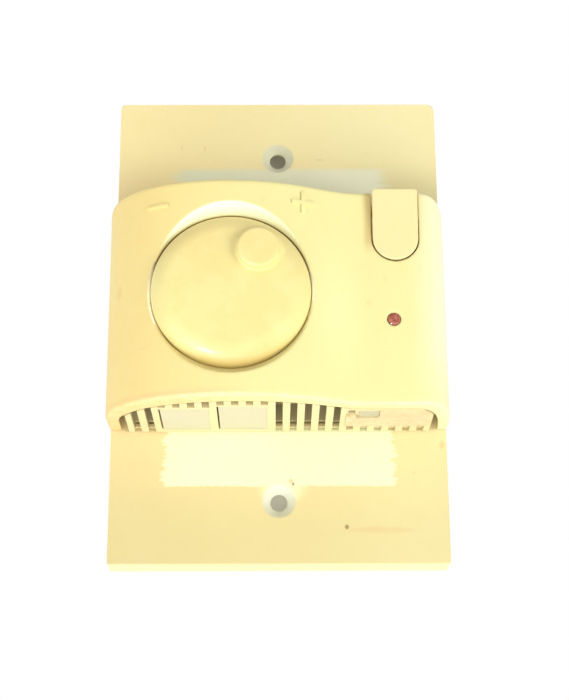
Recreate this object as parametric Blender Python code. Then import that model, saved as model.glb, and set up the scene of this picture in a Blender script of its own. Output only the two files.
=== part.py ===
"""Electronic room thermostat on its wall plate.

Dimensions are in millimetres and MM turns them into the scene's metres. The frame is the one it hangs in:
X to the right, Z up and Y into the wall. The centre of the plate's back face is the origin, so every front
faces -Y. A `height` says how far a point stands in front of the plate's face, away from the wall.
"""

import math

import bmesh
import bpy
from mathutils import Matrix, Vector

MM = 0.001
GAP = 0.35

# Wall plate
PLATE_WIDTH = 75.0
PLATE_LENGTH = 112.0
PLATE_THICKNESS = 6.5
PLATE_SKIN = 2.5
PLATE_RIM = 2.2
PLATE_EDGE = 0.8
PLATE_RIB = 1.6
BOX_SCREW_SPACING = 83.5
BOX_SCREW_HOLE = 1.9
COUNTERSINK_RADIUS = 3.7
COUNTERSINK_DEPTH = 1.9
BOX_BOSS_RADIUS = 5.5
CENTRE_BOSS_RADIUS = 4.5
TRAY_BOSS_RADIUS = 3.4
TRAY_SCREW_HOLE = 1.55

# Cable window through the plate, the tray and the board
WINDOW_CENTRE_X = 12.7
WINDOW_CENTRE_Z = -1.0
WINDOW_WIDTH = 12.4
WINDOW_LENGTH = 16.0
WINDOW_X = (WINDOW_CENTRE_X - WINDOW_WIDTH / 2, WINDOW_CENTRE_X + WINDOW_WIDTH / 2)
WINDOW_Z = (WINDOW_CENTRE_Z - WINDOW_LENGTH / 2, WINDOW_CENTRE_Z + WINDOW_LENGTH / 2)

# Cover band: its front is a hump, a wave and a flat
BODY_BOTTOM = -26.2
BODY_TOP = 23.3
BODY_HALF_WIDTH = 37.9
HUMP_X = -10.0
HUMP_HEIGHT = 28.1
FLAT_X = 19.4
FLAT_HEIGHT = 20.9
SHOULDER_X = 31.3
WAVE_LEAN = 0.055
COVER_WALL = 2.0
COVER_EDGE = 0.8
SIDE_LIFT = 0.7
FLANGE = 1.8
OPENING_SCALE_X = 0.93
OPENING_SCALE_HEIGHT = 0.83
BEYOND = 40.0

# Minus and plus marks, raised on the cover
MARK_RAISE = 0.35
MARK_HALF_STROKE = 0.45
MARK_FIELD_BOTTOM = 10.0
MINUS_CENTRE = (-26.2, 17.9)
MINUS_HALF_LENGTH = 2.3
PLUS_CENTRE = (5.5, 18.8)
PLUS_HALF_LENGTH = 2.5

# Dial in its well
DIAL_X = -10.2
DIAL_Z = -1.7
DIAL_RADIUS = 17.25
DIAL_RIM_HEIGHT = 24.3
DIAL_FACE_HEIGHT = 28.2
DIAL_CROWN = 0.4
DIAL_EDGE_WIDTH = 5.0
DIAL_SHELL = 1.8
WELL_FLOOR_HEIGHT = 16.5
WELL_FLOOR_THICKNESS = 1.5
WELL_WALL = 1.5
POCKET_RADIUS = 19.5
BOSS_ANGLE = math.radians(36.0)
BOSS_OFFSET = 10.1
BOSS_RADIUS = 4.6
BOSS_HEIGHT = 30.2
SHAFT_RADIUS = 3.0
SHAFT_BACK = 9.95
SHAFT_FLAT = 1.5
SHAFT_FLAT_START = 18.0
HUB_RADIUS = 5.0

# Rocker key on its pivot pins
KEY_X = 25.7
KEY_WIDTH = 10.0
KEY_BOTTOM = 7.35
KEY_TOP = 23.6
KEY_FACE_HEIGHT = 21.75
KEY_THICKNESS = 2.8
KEY_TILT = math.radians(5.7)
PIVOT_Z = 16.0
PIVOT_HEIGHT = 19.4
PIN_RADIUS = 0.7
PIN_REACH = 1.0
EAR_DEPTH = 3.4
EAR_WIDTH = 2.4
STEM_HALF_WIDTH = 1.6
STEM_HALF_LENGTH = 1.2
STEM_BACK = 16.0
PLUNGER_Z = 10.2
PLUNGER_CENTRE_Z = 10.6
PLUNGER_RADIUS = 1.6
PLUNGER_BACK = 10.2
PLUNGER_TOP = 14.9
SWITCH_TOP = 13.4
SWITCH_HALF_WIDTH = 5.5
SWITCH_HALF_LENGTH = 4.5

# Indicator lamp
LAMP_X = 24.9
LAMP_Z = -6.65
LAMP_RADIUS = 1.45
LAMP_HOLE_RADIUS = 1.77
LAMP_FLANGE_RADIUS = 1.85
LAMP_BACK = 16.7
LAMP_FLANGE_TOP = 17.5
LAMP_SHOULDER = 20.5
LAMP_DOME = 0.55
LAMP_HOLDER_RADIUS = 2.2

# Vent grilles
VENT_SLOTS = 21
VENT_PITCH = 3.13
VENT_SLOT_WIDTH = 1.4
VENT_CENTRE_X = 0.1
VENT_HALF_WIDTH = 33.4
GRILLE_RECESS = 0.3
GRILLE_THICKNESS = 1.5
GRILLE_SPINE = 1.2
LABEL_THICKNESS = 0.15
LABELS = (
    ("rating_label_left", (-25.75, -14.75), (2.5, 17.6)),
    ("rating_label_right", (-13.2, -2.2), (2.5, 19.4)),
)
LABEL_INSET = 0.3
MOULDED_FIELD = ((14.3, 33.2), (5.0, 16.4))
FIELD_THICKNESS = 0.55
FIELD_PROUD = 0.25
FIELD_SHOULDER = 13.0
FIELD_CORNER = 1.6
GREY_PATCH_X = (16.9, 21.5)
GREY_PATCH_LOW = 11.6

# Tray and circuit board
TRAY_HALF_WIDTH = 34.6
TRAY_BOTTOM = -23.9
TRAY_TOP = 21.0
TRAY_FLOOR = 2.3
TRAY_SIDE_HEIGHT = 9.0
BOARD_BACK = 6.5
BOARD_THICKNESS = 1.6
BOARD_BOTTOM = -21.4
BOARD_TOP = 20.6
BOARD_HALF_WIDTH = 32.2
BOARD_SCREWS = ((-29.0, 15.5), (30.2, -18.4))
BOARD_RESTS = ((-29.0, -18.0), (30.0, 15.5))
TRAY_SCREWS = ((-27.0, 3.0), (27.0, 3.0))
COVER_SCREW = (-20.9, -6.0)
POST_RADIUS = 2.6
REST_RADIUS = 1.8
POST_HOLE = 1.3
BOARD_FRONT = BOARD_BACK + BOARD_THICKNESS
SEAT = BOARD_FRONT + 0.3

# Components on the board: x limits, z limits and the height of the top
RELAY = ((7.9, 17.6), (8.8, 20.4), 17.9)
FILM_CAPACITOR = ((-8.5, 6.8), (-20.6, -14.0), 14.4)
CONTROL_CHIP = ((-30.6, -24.2), (-0.6, 9.0), 11.7)
CHIP_LEG_PITCH = 2.54
CHIP_LEG_REACH = 0.8
POTENTIOMETER_HALF = 7.5
POTENTIOMETER_TOP = 13.8
BUSH_RADIUS = 4.5
BUSH_TOP = 16.4
ELECTROLYTIC_CENTRE = (-28.2, -17.0)
ELECTROLYTIC_RADIUS = 4.0
ELECTROLYTIC_TOP = 16.4
RESISTOR_X = -17.5
RESISTOR_FIRST_Z = 9.6
RESISTOR_PITCH = 3.2
RESISTOR_RADIUS = 1.1
RESISTOR_LENGTH = 6.0
THERMISTOR_CENTRE = (-16.0, -19.0)
TERMINALS = 4
TERMINAL_PITCH = 5.0
TERMINAL_X = 7.6
TERMINAL_Z = -15.6
TERMINAL_HALF_DEPTH = 5.0
TERMINAL_TOP = 17.4

CREAM = (0.93, 0.83, 0.52)
PALE_CREAM = (0.94, 0.88, 0.64)
PLATE_CREAM = (0.90, 0.78, 0.46)


def clear_scene():
    for existing in list(bpy.data.objects):
        bpy.data.objects.remove(existing, do_unlink=True)


def material(name, colour, roughness, metallic=0.0):
    finish = bpy.data.materials.get(name)
    if finish is None:
        finish = bpy.data.materials.new(name)
        finish.use_nodes = True
        shader = finish.node_tree.nodes["Principled BSDF"]
        shader.inputs["Base Color"].default_value = (*colour, 1.0)
        shader.inputs["Roughness"].default_value = roughness
        shader.inputs["Metallic"].default_value = metallic
        finish.diffuse_color = (*colour, 1.0)
    return finish


def front(height):
    """Y of a point that stands `height` in front of the plate's face."""
    return -(PLATE_THICKNESS + height)


def finish_mesh(name, shape, look, origin=(0.0, 0.0, 0.0), smooth=False):
    """Turn a bmesh drawn in millimetres into an object whose origin is at `origin`."""
    bmesh.ops.recalc_face_normals(shape, faces=shape.faces)
    if shape.calc_volume(signed=True) < 0:
        bmesh.ops.reverse_faces(shape, faces=shape.faces)
    bmesh.ops.translate(shape, verts=shape.verts, vec=-Vector(origin))
    bmesh.ops.scale(shape, verts=shape.verts, vec=(MM, MM, MM))
    mesh = bpy.data.meshes.new(name)
    shape.to_mesh(mesh)
    shape.free()
    if smooth:
        mesh.shade_smooth()
        mesh.set_sharp_from_angle(angle=math.radians(35.0))
    made = bpy.data.objects.new(name, mesh)
    made.location = Vector(origin) * MM
    if look is not None:
        mesh.materials.append(look)
    bpy.context.scene.collection.objects.link(made)
    return made


def add_box(shape, x, y, z):
    """Add a box; each argument is a pair of limits."""
    size = Vector((x[1] - x[0], y[1] - y[0], z[1] - z[0]))
    middle = Vector((x[0] + x[1], y[0] + y[1], z[0] + z[1])) / 2
    placed = Matrix.Translation(middle) @ Matrix.Diagonal((*size, 1.0))
    bmesh.ops.create_cube(shape, size=1.0, matrix=placed)


def add_prism(shape, outline, start, end, along="Y"):
    """Add an outline of (x, z) points swept along Y, or of (x, height) points swept along Z."""
    def place(point, station):
        if along == "Y":
            return (point[0], station, point[1])
        return (point[0], front(point[1]), station)

    rings = [[shape.verts.new(place(point, station)) for point in outline] for station in (start, end)]
    shape.faces.new(rings[0])
    shape.faces.new(reversed(rings[1]))
    for i in range(len(outline)):
        j = (i + 1) % len(outline)
        shape.faces.new((rings[0][i], rings[1][i], rings[1][j], rings[0][j]))


def add_turned(shape, profile, x, z, steps=32):
    """Spin a closed profile of (radius, height) points about the line through (x, z) along Y."""
    axis_points = {}
    rings = []
    for index, (radius, height) in enumerate(profile):
        if radius == 0.0:
            axis_points[index] = shape.verts.new((x, front(height), z))
            rings.append(None)
            continue
        ring = []
        for step in range(steps):
            angle = 2 * math.pi * step / steps
            place = (x + radius * math.cos(angle), front(height), z + radius * math.sin(angle))
            ring.append(shape.verts.new(place))
        rings.append(ring)
    for index in range(len(profile)):
        following = (index + 1) % len(profile)
        first, second = rings[index], rings[following]
        if first is None and second is None:
            continue
        for step in range(steps):
            after = (step + 1) % steps
            if first is None:
                shape.faces.new((axis_points[index], second[step], second[after]))
            elif second is None:
                shape.faces.new((first[step], first[after], axis_points[following]))
            else:
                shape.faces.new((first[step], first[after], second[after], second[step]))


def rod_profile(radius, back, head):
    return [(0.0, back), (radius, back), (radius, head), (0.0, head)]


def add_rod(shape, centre, radius, length, steps):
    """Add a round rod along X, centred on `centre`."""
    turn = Matrix.Translation(centre) @ Matrix.Rotation(math.pi / 2, 4, "Y")
    bmesh.ops.create_cone(
        shape, cap_ends=True, segments=steps, radius1=radius, radius2=radius, depth=length, matrix=turn
    )


def rounded_rectangle(x, z, radius, steps=3):
    points = []
    corners = ((x[1], z[1], 0), (x[0], z[1], 1), (x[0], z[0], 2), (x[1], z[0], 3))
    for corner_x, corner_z, quarter in corners:
        centre_x = corner_x - math.copysign(radius, corner_x - sum(x) / 2)
        centre_z = corner_z - math.copysign(radius, corner_z - sum(z) / 2)
        for step in range(steps + 1):
            angle = math.pi / 2 * (quarter + step / steps)
            points.append((centre_x + radius * math.cos(angle), centre_z + radius * math.sin(angle)))
    return points


def bezier(start, start_handle, end_handle, end, steps):
    """Points along a cubic, without its last one."""
    curve = []
    for step in range(steps):
        t = step / steps
        weights = ((1 - t) ** 3, 3 * t * (1 - t) ** 2, 3 * t * t * (1 - t), t ** 3)
        corners = (start, start_handle, end_handle, end)
        curve.append(tuple(sum(w * c[k] for w, c in zip(weights, corners)) for k in (0, 1)))
    return curve


def front_outline(foot=0.3):
    """The cover's outer line, from its left foot over the hump and the wave to its right foot."""
    left_foot = (-BODY_HALF_WIDTH, foot)
    left_turn = (-BODY_HALF_WIDTH, 7.7)
    hump = (HUMP_X, HUMP_HEIGHT)
    flat_start = (FLAT_X, FLAT_HEIGHT)
    flat_end = (SHOULDER_X, FLAT_HEIGHT)
    right_foot = (BODY_HALF_WIDTH, foot)
    line = [left_foot]
    line += bezier(left_turn, (-BODY_HALF_WIDTH, 20.7), (HUMP_X - 15.5, HUMP_HEIGHT), hump, 14)
    line += bezier(hump, (HUMP_X + 16.7, HUMP_HEIGHT), (FLAT_X - 8.7, FLAT_HEIGHT), flat_start, 14)
    line += [flat_start]
    line += bezier(flat_end, (SHOULDER_X + 5.2, FLAT_HEIGHT), (BODY_HALF_WIDTH, 7.6), right_foot, 10)
    line += [right_foot]
    return line


def offset_line(line, distance):
    """Move each point of the cover's line outwards by `distance`; its ends stay on their own height."""
    moved = []
    for index, point in enumerate(line):
        before = Vector(line[max(index - 1, 0)])
        after = Vector(line[min(index + 1, len(line) - 1)])
        along = (after - before).normalized()
        shifted = Vector(point) + Vector((-along.y, along.x)) * distance
        if index in (0, len(line) - 1):
            shifted.y = point[1]
        moved.append(tuple(shifted))
    return moved


def opening_line(shrink=0.0):
    """The line round the cover's open ends, a smaller copy of its front."""
    line = [(x * OPENING_SCALE_X, h * OPENING_SCALE_HEIGHT) for x, h in front_outline(foot=-2.0)]
    return offset_line(line, -shrink)


def leaned(x, z):
    """The hump and the wave run slightly off the vertical, and the sides stay upright."""
    return x - WAVE_LEAN * z * (1 - (x / BODY_HALF_WIDTH) ** 2)


def add_band(shape, sections, lift=0.0):
    """Loft a solid through sections of (z, line); each line closes across its own foot.

    `lift` raises the underside where it nears the wall.
    """
    rings = []
    for z, line in sections:
        rise = lift if z < 0 else 0.0
        ring = []
        for x, h in line:
            ring.append(shape.verts.new((leaned(x, z), front(h), z + rise * (1 - h / HUMP_HEIGHT))))
        rings.append(ring)
    shape.faces.new(rings[0])
    shape.faces.new(reversed(rings[-1]))
    for lower, upper in zip(rings, rings[1:]):
        count = len(lower)
        for i in range(count):
            j = (i + 1) % count
            shape.faces.new((lower[i], upper[i], upper[j], lower[j]))


def cutter(target, operation, name, shape):
    """Join or cut `target` with a hidden helper solid."""
    helper = finish_mesh(f"{target.name}_{name}", shape, None)
    helper.hide_render = True
    helper.display_type = "WIRE"
    step = target.modifiers.new(name, "BOOLEAN")
    step.operation = operation
    step.solver = "EXACT"
    step.object = helper
    return helper


def screw(name, centre, seat, head_radius, head_height, shank_radius, length):
    """A slotted screw along Y whose head rests on `seat` and whose shank runs `length` towards the wall."""
    x, z = centre
    head = seat + head_height
    profile = [(0.0, seat - length), (shank_radius, seat - length), (shank_radius, seat)]
    profile += [(head_radius, seat), (head_radius * 0.9, head), (0.0, head)]
    shape = bmesh.new()
    add_turned(shape, profile, x, z, 16)
    steel = material("screw_steel", (0.72, 0.71, 0.68), 0.35, 1.0)
    made = finish_mesh(name, shape, steel, (x, front(seat), z), smooth=True)
    slot = bmesh.new()
    half_width = 0.35
    reach = head_radius + 1.0
    slot_heights = (front(head + 1.0), front(head - 0.45 * head_height))
    add_box(slot, (x - reach, x + reach), slot_heights, (z - half_width, z + half_width))
    cutter(made, "DIFFERENCE", "slot", slot)


def tongue_outline(half_width, bottom, top, steps=12):
    """A tongue hanging down: straight top, round lower end."""
    centre_z = bottom + half_width
    points = [(KEY_X + half_width, top), (KEY_X - half_width, top)]
    for step in range(steps + 1):
        angle = math.pi + math.pi * step / steps
        points.append((KEY_X + half_width * math.cos(angle), centre_z + half_width * math.sin(angle)))
    return points


def wall_plate():
    look = material("plate_plastic", PLATE_CREAM, 0.45)
    half_x, half_z = PLATE_WIDTH / 2, PLATE_LENGTH / 2
    blank = bmesh.new()
    add_box(blank, (-half_x, half_x), (-PLATE_THICKNESS, 0.0), (-half_z, half_z))
    seen_edges = [e for e in blank.edges if min(v.co.y for v in e.verts) < -PLATE_THICKNESS / 2]
    bmesh.ops.bevel(blank, geom=seen_edges, offset=PLATE_EDGE, segments=2, affect="EDGES", profile=0.5)
    plate = finish_mesh("wall_plate", blank, look, smooth=True)

    pockets = bmesh.new()
    columns = (-half_x + PLATE_RIM, -half_x / 2, 0.0, half_x / 2, half_x - PLATE_RIM)
    rows = (-half_z + PLATE_RIM, -half_z / 2, 0.0, half_z / 2, half_z - PLATE_RIM)
    half_rib = PLATE_RIB / 2
    for left, right in zip(columns, columns[1:]):
        for low, high in zip(rows, rows[1:]):
            x_start = left if left == columns[0] else left + half_rib
            x_end = right if right == columns[-1] else right - half_rib
            z_start = low if low == rows[0] else low + half_rib
            z_end = high if high == rows[-1] else high - half_rib
            add_box(pockets, (x_start, x_end), (PLATE_SKIN - PLATE_THICKNESS, 1.0), (z_start, z_end))
    cutter(plate, "DIFFERENCE", "pockets", pockets)

    bosses = bmesh.new()
    wall_side, in_skin = -PLATE_THICKNESS, 0.5 - PLATE_SKIN
    for z in (-BOX_SCREW_SPACING / 2, BOX_SCREW_SPACING / 2):
        add_turned(bosses, rod_profile(BOX_BOSS_RADIUS, wall_side, in_skin), 0.0, z, 24)
    add_turned(bosses, rod_profile(CENTRE_BOSS_RADIUS, wall_side, in_skin), 0.0, 0.0, 24)
    for x, z in TRAY_SCREWS:
        add_turned(bosses, rod_profile(TRAY_BOSS_RADIUS, wall_side, in_skin), x, z, 20)
    cutter(plate, "UNION", "bosses", bosses)

    frame = bmesh.new()
    frame_x = (WINDOW_X[0] - PLATE_RIB, WINDOW_X[1] + PLATE_RIB)
    frame_z = (WINDOW_Z[0] - PLATE_RIB, WINDOW_Z[1] + PLATE_RIB)
    add_box(frame, frame_x, (1.0 - PLATE_THICKNESS, 0.0), frame_z)
    cutter(plate, "UNION", "window_frame", frame)

    holes = bmesh.new()
    add_box(holes, WINDOW_X, (-PLATE_THICKNESS - 1.0, 1.0), WINDOW_Z)
    slope = (COUNTERSINK_RADIUS - BOX_SCREW_HOLE) / COUNTERSINK_DEPTH
    beyond = wall_side - 1.0
    profile = [(0.0, beyond), (BOX_SCREW_HOLE, beyond), (BOX_SCREW_HOLE, -COUNTERSINK_DEPTH)]
    profile += [(COUNTERSINK_RADIUS + slope, 1.0), (0.0, 1.0)]
    for z in (-BOX_SCREW_SPACING / 2, BOX_SCREW_SPACING / 2):
        add_turned(holes, profile, 0.0, z, 32)
    for x, z in TRAY_SCREWS:
        add_turned(holes, rod_profile(TRAY_SCREW_HOLE, 1.0 - PLATE_THICKNESS, 1.0), x, z, 16)
    cutter(plate, "DIFFERENCE", "holes", holes)


def base_tray():
    look = material("tray_plastic", PALE_CREAM, 0.5)
    corner = 1.2
    wall = 1.5
    half = TRAY_HALF_WIDTH
    outline = rounded_rectangle((-half, half), (TRAY_BOTTOM, TRAY_TOP), corner)
    shape = bmesh.new()
    add_prism(shape, outline, front(TRAY_FLOOR), front(0.3))
    tray = finish_mesh("base_tray", shape, look)

    raised = bmesh.new()
    in_floor = 1.0
    side_z = (TRAY_BOTTOM + corner, TRAY_TOP - corner)
    for x in ((-half, -half + wall), (half - wall, half)):
        add_box(raised, x, (front(TRAY_SIDE_HEIGHT), front(in_floor)), side_z)
    post_top = BOARD_BACK - 0.3
    for x, z in BOARD_SCREWS:
        add_turned(raised, rod_profile(POST_RADIUS, in_floor, post_top), x, z, 20)
    for x, z in BOARD_RESTS:
        add_turned(raised, rod_profile(REST_RADIUS, in_floor, post_top), x, z, 16)
    pillar_top = WELL_FLOOR_HEIGHT - WELL_FLOOR_THICKNESS - 0.3
    add_turned(raised, rod_profile(POST_RADIUS, in_floor, pillar_top), *COVER_SCREW, 20)
    cutter(tray, "UNION", "sides_and_posts", raised)

    holes = bmesh.new()
    add_box(holes, WINDOW_X, (front(8.0), front(-1.0)), WINDOW_Z)
    for x, z in TRAY_SCREWS:
        add_turned(holes, rod_profile(1.8, -1.0, TRAY_FLOOR + 2.0), x, z, 16)
    for x, z in BOARD_SCREWS:
        add_turned(holes, rod_profile(POST_HOLE, TRAY_FLOOR, BOARD_BACK + 1.0), x, z, 16)
    add_turned(holes, rod_profile(POST_HOLE, BOARD_BACK, WELL_FLOOR_HEIGHT), *COVER_SCREW, 16)
    cutter(tray, "DIFFERENCE", "holes", holes)


def front_cover():
    cover = cover_band()
    hollow_cover(cover)
    cut_dial_well(cover)
    cut_small_holes(cover)
    x, z = MINUS_CENTRE
    left, right = x - MINUS_HALF_LENGTH, x + MINUS_HALF_LENGTH
    low, high = z - MARK_HALF_STROKE, z + MARK_HALF_STROKE
    minus = [(left, high), (right, high), (right, low), (left, low)]
    raised_mark(cover, "minus", minus, 23.3)
    raised_mark(cover, "plus", cross_outline(*PLUS_CENTRE), 24.6)


def cover_band():
    """The solid band with softened front edges."""
    outer = front_outline()
    edge = COVER_EDGE
    soft = 0.3 * edge
    sections = [
        (BODY_BOTTOM, offset_line(outer, -edge)),
        (BODY_BOTTOM + soft, offset_line(outer, -soft)),
        (BODY_BOTTOM + edge, outer),
        (BODY_TOP - edge, outer),
        (BODY_TOP - soft, offset_line(outer, -soft)),
        (BODY_TOP, offset_line(outer, -edge)),
    ]
    shape = bmesh.new()
    add_band(shape, sections, SIDE_LIFT)
    return finish_mesh("front_cover", shape, material("cover_plastic", CREAM, 0.35), smooth=True)


def hollow_cover(cover):
    """Empty the band, leaving the dial's well and the ears that carry the key's pins, and open both ends."""
    inner = offset_line(front_outline(foot=-2.0), -COVER_WALL)
    hollow = bmesh.new()
    add_band(hollow, [(BODY_BOTTOM + FLANGE, inner), (BODY_TOP - FLANGE, inner)])
    cavity = cutter(cover, "DIFFERENCE", "cavity", hollow)
    well = bmesh.new()
    well_back = WELL_FLOOR_HEIGHT - WELL_FLOOR_THICKNESS
    add_turned(well, rod_profile(DIAL_RADIUS + GAP + WELL_WALL, well_back, BEYOND), DIAL_X, DIAL_Z, 64)
    cutter(cavity, "DIFFERENCE", "well", well)
    ears = bmesh.new()
    ear_inside = KEY_WIDTH / 2 + GAP
    for side in (-1, 1):
        x = sorted((KEY_X + side * (ear_inside - 0.5), KEY_X + side * (ear_inside + EAR_WIDTH)))
        add_box(ears, x, (front(BEYOND), front(PIVOT_HEIGHT - EAR_DEPTH)), (PIVOT_Z - 2.2, PIVOT_Z + 2.2))
    cutter(cavity, "DIFFERENCE", "ears", ears)

    ends = bmesh.new()
    opening = opening_line()
    add_band(ends, [(BODY_BOTTOM - 5.0, opening), (BODY_BOTTOM + FLANGE + 0.5, opening)])
    add_band(ends, [(BODY_TOP - FLANGE - 0.5, opening), (BODY_TOP + 5.0, opening)])
    cutter(cover, "DIFFERENCE", "open_ends", ends)


def cut_dial_well(cover):
    """A straight bore for the dial, flaring into a pocket that breaks through the hump."""
    bore = DIAL_RADIUS + GAP
    flare = (POCKET_RADIUS - bore) / (HUMP_HEIGHT - DIAL_RIM_HEIGHT)
    above = 4.0
    profile = [(0.0, WELL_FLOOR_HEIGHT), (bore, WELL_FLOOR_HEIGHT), (bore, DIAL_RIM_HEIGHT)]
    profile += [(POCKET_RADIUS + flare * above, HUMP_HEIGHT + above), (0.0, HUMP_HEIGHT + above)]
    dish = bmesh.new()
    add_turned(dish, profile, DIAL_X, DIAL_Z, 72)
    cutter(cover, "DIFFERENCE", "dial_well", dish)


def cut_small_holes(cover):
    holes = bmesh.new()
    through_floor = (WELL_FLOOR_HEIGHT - WELL_FLOOR_THICKNESS - 1.0, WELL_FLOOR_HEIGHT + 1.0)
    add_turned(holes, rod_profile(HUB_RADIUS + 0.4, *through_floor), DIAL_X, DIAL_Z, 28)
    add_turned(holes, rod_profile(1.8, *through_floor), *COVER_SCREW, 16)
    add_turned(holes, rod_profile(LAMP_HOLE_RADIUS, 10.0, BEYOND), LAMP_X, LAMP_Z, 24)
    slot_outline = tongue_outline(KEY_WIDTH / 2 + GAP, KEY_BOTTOM - 0.5, BODY_TOP + 3.0)
    add_prism(holes, slot_outline, front(BEYOND), front(12.0))
    cutter(cover, "DIFFERENCE", "holes", holes)

    notches = bmesh.new()
    half = PIN_RADIUS + GAP
    reach = KEY_WIDTH / 2 + PIN_REACH + GAP
    for side in (-1, 1):
        x = sorted((KEY_X + side * 4.0, KEY_X + side * reach))
        add_box(notches, x, (front(PIVOT_HEIGHT + half), front(12.0)), (PIVOT_Z - half, PIVOT_Z + half))
    cutter(cover, "DIFFERENCE", "pivot_notches", notches)


def cross_outline(x, z):
    outline = []
    for right, up in ((1, 1), (-1, 1), (-1, -1), (1, -1)):
        corner = (x + right * MARK_HALF_STROKE, z + up * MARK_HALF_STROKE)
        along_x = (x + right * PLUS_HALF_LENGTH, corner[1])
        along_z = (corner[0], z + up * PLUS_HALF_LENGTH)
        outline += [along_x, corner, along_z] if right == up else [along_z, corner, along_x]
    return outline


def raised_mark(cover, name, outline, back):
    """Lift an (x, z) outline a little above the cover's skin; `back` is a height inside its wall."""
    skin = bmesh.new()
    line = offset_line(front_outline(), MARK_RAISE)
    add_band(skin, [(MARK_FIELD_BOTTOM, line), (BODY_TOP - COVER_EDGE - 0.5, line)])
    field = cutter(cover, "UNION", name, skin)
    strokes = bmesh.new()
    add_prism(strokes, outline, front(BEYOND), front(back))
    cutter(field, "INTERSECT", f"{name}_outline", strokes)


def grille(name, low, high, notch_for_key):
    """A slotted panel that fills one open end of the cover, between the heights `low` and `high` in Z."""
    line = opening_line(shrink=GAP)
    shape = bmesh.new()
    add_band(shape, [(low, line), (high, line)])
    panel = finish_mesh(name, shape, material("grille_plastic", PALE_CREAM, 0.45))
    foot_height = 0.4

    slots = bmesh.new()
    half = VENT_SLOT_WIDTH / 2
    for index in range(VENT_SLOTS):
        x = VENT_CENTRE_X + (index - (VENT_SLOTS - 1) / 2) * VENT_PITCH
        slot_y = (front(BEYOND), front(foot_height + GRILLE_SPINE))
        add_box(slots, (x - half, x + half), slot_y, (low - 1.0, high + 1.0))
    cutter(panel, "DIFFERENCE", "slots", slots)

    ends = bmesh.new()
    for side in (-1, 1):
        x = sorted((VENT_CENTRE_X + side * VENT_HALF_WIDTH, side * BEYOND))
        add_box(ends, x, (front(BEYOND), front(-5.0)), (low - 1.0, high + 1.0))
    cutter(panel, "DIFFERENCE", "ends", ends)
    foot = bmesh.new()
    add_box(foot, (-BEYOND, BEYOND), (front(foot_height), front(-5.0)), (low - 2.0, high + 2.0))
    cutter(panel, "DIFFERENCE", "foot", foot)
    if notch_for_key:
        room = bmesh.new()
        half = KEY_WIDTH / 2 + GAP
        add_box(room, (KEY_X - half, KEY_X + half), (front(BEYOND), front(14.5)), (low - 2.0, high + 2.0))
        cutter(panel, "DIFFERENCE", "key_room", room)
    return panel


def sticker(panel, name, x, heights, surface):
    """A sticker in its own shallow bed, flush with the underside of a grille."""
    bed = bmesh.new()
    add_box(bed, x, (front(heights[1]), front(heights[0])), (surface - 1.0, surface + LABEL_THICKNESS + GAP))
    cutter(panel, "DIFFERENCE", f"{name}_bed", bed)
    shape = bmesh.new()
    x = (x[0] + LABEL_INSET, x[1] - LABEL_INSET)
    y = (front(heights[1] - LABEL_INSET), front(heights[0] + LABEL_INSET))
    add_box(shape, x, y, (surface, surface + LABEL_THICKNESS))
    finish_mesh(name, shape, material("label_paper", (0.86, 0.84, 0.74), 0.6))


def moulded_panel(panel, surface):
    """A raised blank field with a notch for the grey patch; its front left corner leaves a slot open."""
    inset = 0.3
    (left, right), (low, high) = MOULDED_FIELD
    patch_left, patch_right = GREY_PATCH_X
    notch_left, notch_right = patch_left - inset, patch_right + inset
    bed_outline = [(left, low), (right, low), (right, high), (notch_left, high)]
    bed_outline += [(notch_left, FIELD_SHOULDER), (left, FIELD_SHOULDER)]
    bed = bmesh.new()
    inner_face = surface + FIELD_THICKNESS - FIELD_PROUD
    add_prism(bed, bed_outline, surface - 1.0, inner_face + GAP, along="Z")
    cutter(panel, "DIFFERENCE", "field_bed", bed)

    left, right, low, high = left + inset, right - inset, low + inset, high - inset
    shoulder = FIELD_SHOULDER - inset
    chamfer = 0.8
    patch_low = GREY_PATCH_LOW
    field = [(left, low), (right, low), (right, high - FIELD_CORNER), (right - FIELD_CORNER, high)]
    field += [(notch_right, high), (notch_right, patch_low + chamfer)]
    field += [(notch_right - chamfer, patch_low - inset), (patch_left, patch_low - inset)]
    field += [(notch_left, shoulder), (left, shoulder)]
    shape = bmesh.new()
    add_prism(shape, field, surface - FIELD_PROUD, inner_face, along="Z")
    finish_mesh("moulded_panel", shape, material("grille_plastic", PALE_CREAM, 0.45))

    patch = [(patch_left, high), (patch_left, patch_low + chamfer), (patch_left + chamfer, patch_low)]
    patch += [(patch_right - chamfer, patch_low), (patch_right, patch_low + chamfer), (patch_right, high)]
    shape = bmesh.new()
    add_prism(shape, patch, surface + 0.05, surface + 0.25, along="Z")
    finish_mesh("grey_patch", shape, material("patch_grey", (0.70, 0.69, 0.60), 0.6))


def dial_face_height(radius):
    """Height of the dial's face at a distance from its axis: a low crown with an elliptical edge."""
    edge_start = DIAL_RADIUS - DIAL_EDGE_WIDTH
    if radius <= edge_start:
        return DIAL_FACE_HEIGHT + DIAL_CROWN * (1 - (radius / edge_start) ** 2)
    across = (radius - edge_start) / DIAL_EDGE_WIDTH
    return DIAL_RIM_HEIGHT + (DIAL_FACE_HEIGHT - DIAL_RIM_HEIGHT) * math.sqrt(max(0.0, 1 - across ** 2))


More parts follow.
